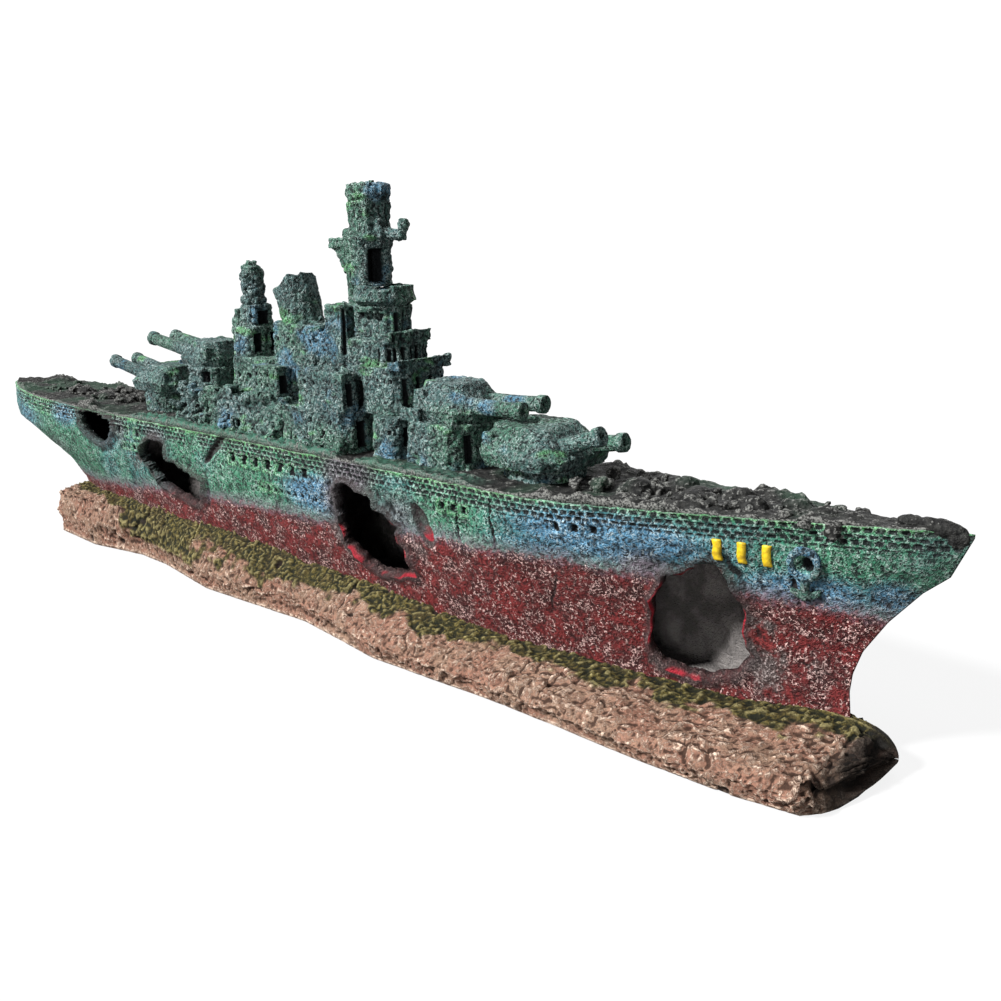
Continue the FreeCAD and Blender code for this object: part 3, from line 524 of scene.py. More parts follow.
# Station share along the rock, shares of the half width to starboard and port, shoulder height, crest height
ROCK_STATIONS = np.array((
    (0, 0.50, 0.50, 12, 15), (0.025, 0.72, 0.70, 14.5, 17), (0.11, 0.78, 0.76, 16, 21),
    (0.19, 0.64, 0.68, 14.5, 19.5), (0.24, 0.66, 0.72, 12.5, 19), (0.34, 0.84, 0.82, 11.5, 18),
    (0.49, 0.79, 0.90, 9.5, 15.5), (0.6, 0.97, 1.0, 8, 14), (0.74, 0.94, 0.78, 7, 12.5),
    (0.86, 1.0, 0.50, 6.5, 11.5), (0.93, 1.0, 0.28, 7.5, 9.5), (0.975, 0.94, 0.16, 7.5, 9),
    (1, 0.60, 0.06, 6.5, 7.5),
))
ROCK_COLUMNS, ROCK_CAPS, ROCK_TOP_ROWS, ROCK_UNDER_ROWS, BED_HEIGHT = 560, 9, 52, 5, 8.6


def build_rock(material):
    share = np.linspace(0, 1, ROCK_COLUMNS)
    angle = np.linspace(90, 90 / ROCK_CAPS, ROCK_CAPS) * pi / 180
    middle = ROCK_AFT + ROCK_ROUNDING + share * (ROCK_FORE - ROCK_AFT - 2 * ROCK_ROUNDING)
    x = np.concatenate([
        ROCK_AFT + ROCK_ROUNDING - ROCK_ROUNDING * np.sin(angle), middle,
        ROCK_FORE - ROCK_ROUNDING + ROCK_ROUNDING * np.sin(angle[::-1]),
    ])
    cap_shrink = np.maximum(np.cos(angle), 0.03)
    shrink = np.concatenate([cap_shrink, np.ones(ROCK_COLUMNS), cap_shrink[::-1]])
    along = (x - ROCK_AFT) / (ROCK_FORE - ROCK_AFT)
    to_starboard, to_port, shoulder, crest = [
        np.interp(along, ROCK_STATIONS[:, 0], ROCK_STATIONS[:, column]) for column in (1, 2, 3, 4)]
    widths = [ROCK_HALF_WIDTH * part - 0.6 for part in (to_starboard, to_port)]
    seat = np.interp(x, *ROCK_LINE)
    hull_side = np.maximum(breadth(x, seat), 0)
    covered = fade(hull_side, 1.0, 5.0)
    rim = np.maximum(hull_side - 1.4, 0.5)
    rim_height = seat * covered + crest * (1 - covered)
    bed_height = BED_HEIGHT * covered + (rim_height - 0.4) * (1 - covered)

    def half_loop(width):
        """Rows of one side, from under the middle, out, up and over to the hull's bed."""
        width = np.maximum(width, rim + 1.0)
        rows = [(width * 0.93 * k / ROCK_UNDER_ROWS, x * 0) for k in range(ROCK_UNDER_ROWS)]
        knee_y = np.stack([width * 0.93, width, width * 0.93, rim])
        knee_z = np.stack([x * 0, shoulder * 0.55, shoulder, rim_height])
        for u in np.linspace(0, 1, ROCK_TOP_ROWS):
            at = np.interp(u, (0.0, 0.22, 0.36, 1.0), (0, 1, 2, 3))
            low = min(int(at), 2)
            part = at - low
            rows.append((knee_y[low] * (1 - part) + knee_y[low + 1] * part,
                         knee_z[low] * (1 - part) + knee_z[low + 1] * part))
        rows.append((np.minimum(rim, np.maximum(breadth(x, bed_height), 0.45)) * 0.9, bed_height))
        rows.append((rows[-1][0] * 0.4, bed_height))
        return rows

    near_side, far_side = half_loop(widths[0]), half_loop(widths[1])
    loop_y = np.stack([-row[0] for row in near_side] + [row[0] for row in far_side[:0:-1]], 1)
    loop_z = np.stack([row[1] for row in near_side] + [row[1] for row in far_side[:0:-1]], 1)
    centre = (shoulder * 0.5)[:, None]
    loop_y = loop_y * shrink[:, None]
    loop_z = centre + (loop_z - centre) * shrink[:, None]
    ring = loop_y.shape[1]
    points = np.stack([np.repeat(x, ring), loop_y.ravel(), loop_z.ravel()], 1)
    number = np.arange(len(points)).reshape(len(x), ring)
    after = np.roll(number, -1, 1)
    quads = np.stack([number[:-1], number[1:], after[1:], after[:-1]], 2).reshape(-1, 4)
    faces = quads.tolist() + [number[0][::-1].tolist(), number[-1].tolist()]
    mesh = raw_mesh("rock_cast", points, faces)
    points, normals, _ = arrays(mesh)
    row = np.tile(np.arange(ring), len(x))
    row = np.minimum(row, ring - row)
    craggy = fade(row, ROCK_UNDER_ROWS - 1, ROCK_UNDER_ROWS + 5)
    craggy *= 1 - fade(row, ROCK_UNDER_ROWS + ROCK_TOP_ROWS - 4, ROCK_UNDER_ROWS + ROCK_TOP_ROWS)
    warp = points + 1.6 * np.stack([noise(points, 5.0, k) for k in (31, 32, 33)], 1)
    near, far = cells(warp, 5.2, 34)
    flakes = fade(far - near, 0.0, 0.16)
    broad = layered(points, 12.0, 2, 36)
    veins = 1 - fade(np.abs(layered(warp, 5.5, 3, 37)), 0.0, 0.11)
    fine_veins = 1 - fade(np.abs(layered(warp, 2.8, 3, 38)), 0.0, 0.15)
    tip = fade(points[:, 0], 156, 166)
    wild = 1 + 1.2 * tip
    height = broad + 0.45 * veins + 0.40 * fine_veins + 0.55 * layered(points, 1.8, 3, 44)
    height = wild * height - 0.5
    height -= 0.9 * (1 - flakes) * fade(broad, -0.2, 0.5)
    height += tip * (1.8 * noise(points, 4.5, 46) + 1.2 * np.abs(noise(points, 2.2, 47)) - 1.2)
    hole_near, _ = cells(points * (1, 1, 1.25), 15.0, 39)
    holes = 1 - fade(hole_near, 0.07, 0.12)
    height -= 1.8 * holes
    hull_level = np.interp(points[:, 0], *ROCK_LINE)
    away = np.abs(points[:, 1]) - np.maximum(breadth(points[:, 0], hull_level), 0)
    away = np.where(points[:, 0] > 158, np.hypot(points[:, 0] - 158, points[:, 1]), away)
    reach = np.interp(points[:, 0], (-128, -60, 40, 130, 172), (4.0, 5.0, 5.5, 7.5, 12.0))
    moss = 1 - fade(away / reach + 0.45 * noise(points, 8.0, 40) + 0.35 * noise(points, 2.4, 41), 0.65, 1.15)
    moss *= fade(points[:, 2], 4.0, 7.0)
    clumps = np.abs(layered(points, 2.6, 4, 42)) * (0.9 + 0.8 * noise(points, 6.0, 49))
    height = height * (1 - 0.30 * moss) + moss * (1.3 * clumps - 0.2)
    gully = 1 - fade(np.abs(noise(points * (1, 0.6, 0.45), 14.0, 43)), 0.0, 0.07)
    gully *= fade(noise(points, 17.0, 45), 0.0, 0.3) * fade(points[:, 2] / hull_level, 0.35, 0.7)
    height -= 1.7 * gully
    moved = points + normals * (height * craggy)[:, None]
    moved[:, 1] = np.clip(moved[:, 1], -29.9, 29.9)
    moved[:, 2] = np.maximum(moved[:, 2], 0.0)
    flat = row <= ROCK_UNDER_ROWS - 1
    moved[flat, 2] = np.maximum(points[flat, 2], 0.0)
    mesh.vertices.foreach_set("co", (moved * METRE).astype(np.float32).ravel())
    mesh.update()
    # Painted shade: the rock's bow end is darkened nearly to black
    shade = fade(points[:, 0] + 2.5 * noise(points, 6.0, 48), 162, 167)
    marks = {"moss": moss, "hollow": np.maximum(holes, gully), "bow_shade": shade}
    return cast("rock_cast", mesh, material, ("rock_base",), marks)


# ---------------------------------------------------------------- deck

DECK_THICKNESS, DECK_COLUMNS, DECK_ROWS = 1.6, 520, 54


def build_deck(material):
    low, high = cad_corners("main_deck")
    x = np.linspace(low[0] - 3.5, high[0] + 3.0, DECK_COLUMNS)
    edge = sheer(x)
    half = np.maximum(breadth(x, edge - 0.3) - 0.8, 0.4)
    across = np.linspace(-1, 1, DECK_ROWS)
    top = np.stack([np.repeat(x, DECK_ROWS), (half[:, None] * across).ravel(), np.repeat(edge, DECK_ROWS)], 1)
    bottom = top - (0, 0, DECK_THICKNESS)
    bottom[:, 2] += (DECK_THICKNESS - 0.3) * np.tile(fade(np.abs(across), 0.80, 0.86), len(x))
    crust = 0.40 * layered(top, 4.0, 3, 51) + 0.55 * np.abs(layered(top, 1.6, 2, 52))
    lumps = fade(noise(top, 9.0, 53) + 0.4 * noise(top, 4.0, 54), 0.25, 0.9)
    lumps *= fade(np.abs(top[:, 0] - 4), 80, 92)
    folds = np.abs(layered(top, 2.3, 2, 55))
    bank = (1 - fade(np.abs(top[:, 0] + 14), 44, 62)) * fade(np.abs(top[:, 1]), 13.5, 16.0)
    bank = np.maximum(bank, (1 - fade(np.abs(top[:, 0] - 52), 18, 30)) * fade(np.abs(top[:, 1]), 11, 14) * 0.6)
    bank *= fade(np.abs(top[:, 0] - 34), 2.5, 5.0)
    top[:, 2] += 0.25 + np.maximum(crust, -0.1) + lumps * (1.0 + 1.6 * folds) + bank * (0.8 + 1.4 * folds)
    number = np.arange(len(top)).reshape(len(x), DECK_ROWS)
    under = number + len(top)

    def sheet(grid):
        return np.stack([grid[:-1, :-1], grid[1:, :-1], grid[1:, 1:], grid[:-1, 1:]], 2).reshape(-1, 4)

    def skirt(path, below):
        return np.stack([path[:-1], path[1:], below[1:], below[:-1]], 1)

    faces = [sheet(number), sheet(under)[:, ::-1]]
    for path, below, turn in (
        (number[:, 0], under[:, 0], True), (number[:, -1], under[:, -1], False),
        (number[0], under[0], False), (number[-1], under[-1], True),
    ):
        quads = skirt(path, below)
        faces.append(quads[:, ::-1] if turn else quads)
    mesh = raw_mesh("deck_cast", np.concatenate([top, bottom]), np.concatenate(faces))
    marks = {"green": np.concatenate([bank, bank * 0])}
    return cast("deck_cast", mesh, material, ("main_deck",), marks)


# ---------------------------------------------------------------- superstructure


def block(low, high, lean=0.0):
    """Points and faces of a box, its top shifted by lean along X."""
    (x0, y0, z0), (x1, y1, z1) = low, high
    points = [(x0, y0, z0), (x1, y0, z0), (x1, y1, z0), (x0, y1, z0),
              (x0 + lean, y0, z1), (x1 + lean, y0, z1), (x1 + lean, y1, z1), (x0 + lean, y1, z1)]
    faces = [(0, 3, 2, 1), (4, 5, 6, 7), (0, 1, 5, 4), (1, 2, 6, 5), (2, 3, 7, 6), (3, 0, 4, 7)]
    return points, faces


def tube_faces(count):
    """Faces of a closed body between two outlines of the same number of corners."""
    faces = [tuple(range(count))[::-1], tuple(range(count, 2 * count))]
    for k in range(count):
        n = (k + 1) % count
        faces.append((k, n, count + n, count + k))
    return faces


def rod(start, end, radius, end_radius=None, sides=14):
    """Points and faces of a round bar between two points."""
    start, end = Vector(start), Vector(end)
    axis = (end - start).normalized()
    across = axis.orthogonal().normalized()
    other = axis.cross(across)
    points = []
    for centre, r in ((start, radius), (end, radius if end_radius is None else end_radius)):
        for k in range(sides):
            turn = 2 * pi * k / sides
            points.append(tuple(centre + across * (r * cos(turn)) + other * (r * sin(turn))))
    return points, tube_faces(sides)


def facet(foot, foot_height, roof, roof_height):
    """Points and faces of a body whose foot and roof outlines have the same number of corners."""
    points = [(x, y, foot_height) for x, y in foot] + [(x, y, roof_height) for x, y in roof]
    return points, tube_faces(len(foot))


def ball(centre, radii, rings=8, sides=14):
    """Points and faces of an ellipsoid."""
    x, y, z = centre
    a, b, c = radii
    points = [(x, y, z - c)]
    for ring in range(1, rings):
        rise = pi * ring / rings
        for k in range(sides):
            turn = 2 * pi * k / sides
            points.append((x + a * sin(rise) * cos(turn), y + b * sin(rise) * sin(turn), z - c * cos(rise)))
    points.append((x, y, z + c))
    last = len(points) - 1
    faces = []
    for k in range(sides):
        n = (k + 1) % sides
        faces.append((0, 1 + n, 1 + k))
        faces.append((last, last - sides + k, last - sides + n))
        for ring in range(rings - 2):
            first = 1 + ring * sides
            faces.append((first + k, first + n, first + sides + n, first + sides + k))
    return points, faces


def octagon(low_x, high_x, half, corner, fore_corner=None):
    """A rectangle outline with cut corners, in plan."""
    fore = corner if fore_corner is None else fore_corner
    return [(low_x, half - corner), (low_x, corner - half), (low_x + corner, -half), (high_x - fore, -half),
            (high_x, fore - half), (high_x, half - fore), (high_x - fore, half), (low_x + corner, half)]


def parapet(low_x, high_x, half, foot, top, thick=0.9, sides="fsp"):
    """Low walls around a roof: fore, starboard, port and aft."""
    walls = {
        "f": block((high_x - thick, -half, foot), (high_x, half, top)),
        "a": block((low_x, -half, foot), (low_x + thick, half, top)),
        "s": block((low_x, -half, foot), (high_x, thick - half, top - 0.5)),
        "p": block((low_x, half - thick, foot), (high_x, half, top - 0.5)),
    }
    return [walls[side] for side in sides]


def litter(seed, count, low, high, size=(0.7, 1.7)):
    """Small broken blocks, balls and bars scattered over a roof or along a wall."""
    dice = np.random.default_rng(seed)
    parts = []
    for _ in range(count):
        spot = dice.uniform(low, high)
        reach = dice.uniform(size[0], size[1], 3)
        kind = dice.integers(3)
        if kind == 0:
            parts.append(block(spot - reach, spot + reach, dice.uniform(-0.6, 0.6)))
        elif kind == 1:
            parts.append(ball(spot, reach * 1.1))
        else:
            parts.append(rod(spot, spot + dice.uniform(-2.4, 2.4, 3), reach[0] * 0.6))
    return parts


def melt(name, node, extras, voxel):
    """The CAD shape, if one is named, and some added parts, melted into one even mesh."""
    points, faces = [], []
    if node:
        points += [v.co[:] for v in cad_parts[node].data.vertices]
        faces += [p.vertices[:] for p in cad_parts[node].data.polygons]
    for part_points, part_faces in extras:
        start = len(points)
        points += [tuple(c * METRE for c in p) for p in part_points]
        faces += [tuple(start + k for k in f) for f in part_faces]
    joined = bpy.data.meshes.new(name)
    joined.from_pydata(points, [], faces)
    welded = bpy.data.objects.new(name, joined)
    bpy.context.scene.collection.objects.link(welded)
    remesh = welded.modifiers.new("melt", "REMESH")
    remesh.mode = "VOXEL"
    remesh.voxel_size = voxel * METRE
    bpy.context.view_layer.update()
    result = bpy.data.meshes.new_from_object(welded.evaluated_get(bpy.context.evaluated_depsgraph_get()))
    bpy.data.objects.remove(welded)
    result.name = name
    return result


def weathered(name, material, slot="house_paint", own=None, extras=(), voxel=0.40, windows=(), seed=0,
              crust=1.0, flute=0.0, reshape=None):
    """A cast resin version of one CAD node: crusted, pitted, with sunken windows."""
    mesh = melt(name + "_cast", None if own else name, list(own or ()) + list(extras), voxel)
    points, normals, _ = arrays(mesh)
    if reshape:
        points = reshape(points)
        set_points(mesh, points)
        points, normals, _ = arrays(mesh)
    upright = 1 - fade(np.abs(normals[:, 2]), 0.4, 0.8)
    drips = noise(points * (1, 1, 0.22), 1.5, seed + 2)
    near, far = cells(points, 2.6, seed + 3)
    height = 0.34 * layered(points, 4.4, 3, seed) + 0.24 * noise(points, 1.1, seed + 1)
    height += (0.24 + 0.5 * flute) * drips * upright
    height += 0.30 * (fade(far - near, 0.0, 0.3) - 0.6)
    height *= crust
    height = np.where(upright < 0.3, np.maximum(height, -0.1) + 0.12, height)
    pit = np.zeros(len(points))
    for axis, side, depth, rows in windows:
        along = points[:, 1 - axis]
        facing = fade(normals[:, axis] * side, 0.45, 0.75)
        for first, last, level, count, width, tall in rows:
            for k in range(count):
                station = first + (last - first) * (k / (count - 1) if count > 1 else 0)
                beside = np.abs(along - station) - width / 2
                reach = np.maximum(beside, np.abs(points[:, 2] - level) - tall / 2)
                share = (1 - fade(reach, -0.3, 0.15)) * facing
                height -= depth * share
                pit = np.maximum(pit, share)
    set_points(mesh, points + normals * height[:, None])
    return cast(name + "_cast", mesh, material, (name,), {"pit": pit})


# ---------------------------------------------------------------- paint


class Paint:
    """A node material put together from named steps."""

    def __init__(self, name, roughness=0.6, specular=0.35):
        self.material = bpy.data.materials.new(name)
        self.material.use_nodes = True
        self.tree = self.material.node_tree
        self.tree.nodes.clear()
        self.out = self.tree.nodes.new("ShaderNodeOutputMaterial")
        self.shader = self.tree.nodes.new("ShaderNodeBsdfPrincipled")
        self.shader.inputs["Roughness"].default_value = roughness
        self.shader.inputs["Specular IOR Level"].default_value = specular
        self.tree.links.new(self.shader.outputs[0], self.out.inputs["Surface"])
        self.place = self.tree.nodes.new("ShaderNodeTexCoord").outputs["Object"]

    def link(self, value, socket):
        if isinstance(value, bpy.types.NodeSocket):
            self.tree.links.new(value, socket)
        else:
            socket.default_value = value

    def mark(self, name):
        node = self.tree.nodes.new("ShaderNodeAttribute")
        node.attribute_name = name
        return node.outputs["Fac"]

    def grain(self, size, detail=3.0, roughness=0.6, stretch=(1, 1, 1), distortion=0.0):
        """Noise with grains of a size in millimetres, from 0 to 1."""
        mapping = self.tree.nodes.new("ShaderNodeMapping")
        mapping.inputs["Scale"].default_value = stretch
        self.link(self.place, mapping.inputs["Vector"])
        node = self.tree.nodes.new("ShaderNodeTexNoise")
        node.inputs["Scale"].default_value = 1 / (size * METRE)
        node.inputs["Detail"].default_value = detail
        node.inputs["Roughness"].default_value = roughness
        node.inputs["Distortion"].default_value = distortion
        self.link(mapping.outputs[0], node.inputs["Vector"])
        return node.outputs["Fac"]

    def threads(self, size, width=0.03, detail=3.0):
        """Thin winding lines, 1 on the line and 0 away from it."""
        grain = self.grain(size, detail, 0.6, distortion=0.4)
        away = self.maths("ABSOLUTE", self.maths("SUBTRACT", grain, 0.5))
        return self.span(away, 0.0, width, 1.0, 0.0)

    def span(self, value, low, high, to_low=0.0, to_high=1.0):
        """A value carried from one range to another, smoothly and clamped."""
        node = self.tree.nodes.new("ShaderNodeMapRange")
        node.interpolation_type = "SMOOTHSTEP"
        for socket, number in zip(("From Min", "From Max", "To Min", "To Max"), (low, high, to_low, to_high)):
            node.inputs[socket].default_value = number
        self.link(value, node.inputs["Value"])
        return node.outputs[0]

    def maths(self, operation, a, b=0.0):
        node = self.tree.nodes.new("ShaderNodeMath")
        node.operation = operation
        node.use_clamp = operation in ("MULTIPLY", "MAXIMUM")
        self.link(a, node.inputs[0])
        self.link(b, node.inputs[1])
        return node.outputs[0]

    def times(self, a, b):
        return self.maths("MULTIPLY", a, b)

    def plus(self, a, b):
        return self.maths("ADD", a, b)

    def most(self, a, b):
        return self.maths("MAXIMUM", a, b)

    def mix(self, share, a, b):
        node = self.tree.nodes.new("ShaderNodeMix")
        node.data_type = "RGBA"
        self.link(share, node.inputs[0])
        for value, socket in ((a, node.inputs[6]), (b, node.inputs[7])):
            fixed = not isinstance(value, bpy.types.NodeSocket)
            self.link((*(PIGMENT * c for c in value), 1.0) if fixed else value, socket)
        return node.outputs[2]

    def coat(self, hue, colour, value, low, high, thin=0.0, thick=1.0):
        """A second colour laid over a hue where a value rises from low to high."""
        return self.mix(self.span(value, low, high, thin, thick), hue, colour)

    def bump(self, value, depth):
        """Fine surface relief, its depth in millimetres."""
        node = self.tree.nodes.new("ShaderNodeBump")
        node.inputs["Strength"].default_value = 1.0
        node.inputs["Distance"].default_value = depth * METRE
        self.link(value, node.inputs["Height"])
        self.tree.links.new(node.outputs[0], self.shader.inputs["Normal"])

    def finish(self, colour):
        self.link(colour, self.shader.inputs["Base Color"])
        return self.material


# Every paint colour is darkened by this share
PIGMENT = 0.62
BLACK = (0.004, 0.005, 0.006)
# Painted shade at the hull's bow tip
BOW_SHADE_DARK = (0.016, 0.020, 0.021)
GREEN = (0.060, 0.300, 0.165)
TEAL = (0.060, 0.260, 0.240)
BLUE = (0.100, 0.300, 0.480)
PALE = (0.62, 0.69, 0.67)
LEAF = (0.16, 0.55, 0.16)
MAROON = (0.160, 0.022, 0.022)
CRIMSON = (0.30, 0.016, 0.028)
LILAC = (0.17, 0.14, 0.17)
TAN = (0.270, 0.170, 0.118)
CREAM = (0.66, 0.50, 0.39)
ROSE = (0.260, 0.130, 0.090)
MOSS = (0.125, 0.098, 0.028)
MOSS_DARK = (0.022, 0.022, 0.009)
MAROON_DARK = (0.050, 0.015, 0.015)
MAROON_GRAIN = (0.018, 0.007, 0.007)
MAROON_DEEP = (0.010, 0.005, 0.005)
CHALK = (0.58, 0.38, 0.35)
SCAB_DARK = (0.060, 0.044, 0.042)
SCAB = (0.30, 0.25, 0.24)
SCORCHED = (0.034, 0.026, 0.026)
CAVE_DARK = (0.12, 0.11, 0.105)
CAVE = (0.24, 0.22, 0.21)
HOUSE_GREEN = (0.070, 0.205, 0.135)
HOUSE_TEAL = (0.075, 0.165, 0.160)
CHAR = (0.006, 0.006, 0.006)
CINDER = (0.030, 0.030, 0.028)
ASH = (0.30, 0.30, 0.28)
DECK_GREEN = (0.03, 0.10, 0.055)
DECK_WEED = (0.04, 0.13, 0.09)
ROCK_GRAIN = (0.10, 0.052, 0.036)
ROCK_DEEP = (0.035, 0.018, 0.012)
MOSS_BROWN = (0.060, 0.042, 0.016)
MOSS_TIP = (0.34, 0.29, 0.13)
MOSS_DEEP = (0.008, 0.009, 0.005)
HOLLOW = (0.022, 0.014, 0.011)
# Painted shade at the rock's bow end
ROCK_BOW_SHADE = (0.010, 0.009, 0.008)


def sea_paint(paint, hue, dusting, blackness):
    """Verdigris over black: tinted winding threads of paint and dust, black between them."""
    grain = paint.grain(0.95, 2.0, 0.6)
    other = paint.grain(0.60, 2.0, 0.7, (1, 1.1, 0.9))
    threads = paint.threads(0.80, 0.12, 1.5)
    ridge = paint.mark("ridge")
    shade = paint.span(paint.grain(7.0, 4.0, 0.65), 0.36, 0.60, 0.45, 1.0)
    dark = paint.coat(hue, BLACK, grain, 0.40, 0.62, blackness, 0.45 * blackness)
    bright = paint.coat(hue, PALE, other, 0.44, 0.62, 0.25 * dusting, dusting)
    raised = paint.times(threads, paint.span(ridge, -0.10, 0.10, 0.35, 1.0))
    hue = paint.mix(paint.times(raised, shade), dark, bright)
    # Black wash in the hollows, partly painted shade in the crevices
    hue = paint.coat(hue, BLACK, ridge, -0.18, -0.02, 0.95, 0.0)
    paint.bump(paint.plus(grain, paint.plus(other, paint.times(threads, 0.5))), 0.42)
    return hue, grain, other


def pitted(paint, hue):
    return paint.mix(paint.span(paint.mark("pit"), 0.25, 0.8), hue, BLACK)


def hull_paint():
    paint = Paint("verdigris_hull", 0.72, 0.12)
    broad = paint.grain(30.0, 3.0, 0.5)
    base = paint.coat(GREEN, TEAL, broad, 0.44, 0.60)
    base = paint.mix(paint.times(paint.mark("rail"), 0.8), base, LEAF)
    base = paint.coat(base, BLUE, paint.mark("blue"), 0.10, 0.75)
    base = paint.coat(base, LILAC, paint.mark("lilac"), 0.15, 0.8)
    base = paint.coat(base, BLACK, paint.mark("brick"), 0.2, 0.8, 0.0, 0.85)
    upper, grain, other = sea_paint(paint, base, 0.66, 0.97)
    # Painted shade: the green paint darkens towards the bow tip
    upper = paint.mix(paint.times(paint.mark("bow_tip_shade"), 0.6), upper, BOW_SHADE_DARK)
    blotch = paint.grain(6.0, 4.0, 0.6)
    lower = paint.coat(MAROON, MAROON_DARK, blotch, 0.35, 0.65)
    specks = paint.times(paint.span(other, 0.56, 0.63), paint.span(paint.grain(3.0, 2.0), 0.38, 0.58))
    specks = paint.most(specks, paint.times(paint.threads(2.6, 0.018), paint.span(blotch, 0.46, 0.60)))
    lower = paint.coat(lower, MAROON_GRAIN, grain, 0.40, 0.52, 0.75, 0.0)
    lower = paint.mix(specks, lower, CHALK)
    # Dark wash in the hollows of the red paint, partly painted shade in the crevices
    lower = paint.coat(lower, MAROON_DEEP, paint.mark("ridge"), -0.16, -0.03, 0.8, 0.0)
    border = paint.plus(paint.mark("paint"), paint.span(paint.grain(1.2, 3.0), 0.3, 0.7, -0.8, 0.8))
    hue = paint.coat(lower, upper, border, -0.8, 0.8)
    band = paint.times(paint.span(border, -2.5, 0.0), paint.span(border, 3.5, 0.8))
    hue = paint.mix(paint.times(band, paint.span(grain, 0.40, 0.60, 0.15, 0.65)), hue, LILAC)
    scab = paint.coat(SCAB_DARK, SCAB, other, 0.50, 0.62)
    bubbled = paint.times(paint.span(paint.mark("bubble"), 0.25, 0.8), paint.span(blotch, 0.40, 0.56))
    hue = paint.mix(bubbled, hue, scab)
    torn = paint.mark("torn")
    hue = paint.coat(hue, SCORCHED, torn, 0.10, 0.50, 0.0, 0.75)
    rim = paint.times(paint.span(torn, 0.72, 0.97), paint.span(border, 6.0, -1.0))
    rim = paint.times(rim, paint.span(paint.grain(7.0, 1.0), 0.48, 0.58))
    hue = paint.mix(rim, hue, CRIMSON)
    hue = pitted(paint, hue)
    cave = paint.coat(CAVE_DARK, CAVE, paint.grain(5.0, 4.0), 0.35, 0.65)
    return paint.finish(paint.mix(paint.mark("inside"), hue, cave))


def house_paint():
    paint = Paint("verdigris_house", 0.75, 0.12)
    broad = paint.grain(26.0, 3.0, 0.5)
    base = paint.coat(HOUSE_GREEN, HOUSE_TEAL, broad, 0.42, 0.58)
    base = paint.coat(base, BLUE, paint.grain(13.0, 2.0), 0.56, 0.70, 0.0, 0.75)
    base = paint.coat(base, LEAF, paint.grain(10.0, 2.0, 0.5, (1, 1, 2)), 0.60, 0.72, 0.0, 0.6)
    hue, _, _ = sea_paint(paint, base, 0.58, 0.97)
    return paint.finish(pitted(paint, hue))


def deck_paint():
    paint = Paint("charred_deck", 0.75, 0.12)
    coarse = paint.grain(1.3, 4.0, 0.75)
    grain = paint.grain(0.45, 2.0, 0.7)
    hue = paint.coat(CHAR, CINDER, coarse, 0.4, 0.65)
    raised = paint.plus(paint.span(paint.mark("ridge"), -0.06, 0.16, -0.16, 0.20), grain)
    hue = paint.coat(hue, ASH, raised, 0.60, 0.82, 0.0, 0.55)
    hue = paint.coat(hue, DECK_GREEN, paint.grain(26.0, 2.0), 0.52, 0.68, 0.0, 0.30)
    hue = paint.mix(paint.times(paint.mark("green"), paint.span(coarse, 0.35, 0.6)), hue, DECK_WEED)
    paint.bump(paint.plus(coarse, grain), 0.34)
    return paint.finish(hue)


def rock_paint():
    paint = Paint("painted_rock", 0.80, 0.10)
    ridge = paint.mark("ridge")
    patch = paint.grain(9.0, 4.0, 0.6)
    hue = paint.coat(TAN, ROSE, patch, 0.36, 0.64)
    fine = paint.grain(1.1, 4.0, 0.7, distortion=0.8)
    cream = paint.most(paint.threads(3.2, 0.022, 4.0), paint.threads(1.9, 0.020, 4.0))
    cream = paint.times(cream, paint.span(ridge, -0.08, 0.02))
    cream = paint.most(cream, paint.times(paint.span(ridge, 0.08, 0.24), paint.span(fine, 0.42, 0.56)))
    hue = paint.mix(paint.times(cream, 0.9), hue, CREAM)
    hue = paint.coat(hue, ROCK_GRAIN, fine, 0.36, 0.50, 0.80, 0.0)
    # Dark wash in the rock's hollows, partly painted shade in the crevices
    hue = paint.coat(hue, ROCK_DEEP, ridge, -0.16, -0.03, 0.92, 0.0)
    moss = paint.coat(MOSS_DARK, MOSS, fine, 0.44, 0.60)
    moss = paint.coat(moss, MOSS_BROWN, patch, 0.45, 0.62, 0.0, 0.6)
    moss = paint.mix(paint.times(paint.span(ridge, 0.04, 0.22), 0.7), moss, MOSS_TIP)
    # Dark wash in the moss's hollows, partly painted shade in the crevices
    moss = paint.coat(moss, MOSS_DEEP, ridge, -0.12, 0.02, 0.95, 0.0)
    hue = paint.coat(hue, moss, paint.mark("moss"), 0.15, 0.85)
    # Near-black in the holes and gullies: partly wash, partly painted shade
    hue = paint.coat(hue, HOLLOW, paint.mark("hollow"), 0.3, 0.9, 0.0, 0.9)
    # Painted shade over the rock's bow end
    hue = paint.mix(paint.times(paint.mark("bow_shade"), 0.92), hue, ROCK_BOW_SHADE)
    paint.bump(paint.plus(fine, paint.times(cream, 0.5)), 0.60)
    return paint.finish(hue)


def plain_paint(name, colour, grime, roughness=0.5, size=1.2):
    """One colour, mottled with a second."""
    paint = Paint(name, roughness, 0.4)
    mottle = paint.grain(size, 4.0, 0.7)
    paint.bump(mottle, 0.12)
    return paint.finish(paint.mix(paint.span(mottle, 0.35, 0.7), colour, grime))


# ---------------------------------------------------------------- the object

hull_material, house_material = hull_paint(), house_paint()
deck_material, rock_material = deck_paint(), rock_paint()

hull_half(-1, "hull_starboard", STARBOARD_TEARS, hull_material, 60)
hull_half(1, "hull_port", PORT_TEARS, hull_material, 80)
build_rock(rock_material)
build_deck(deck_material)


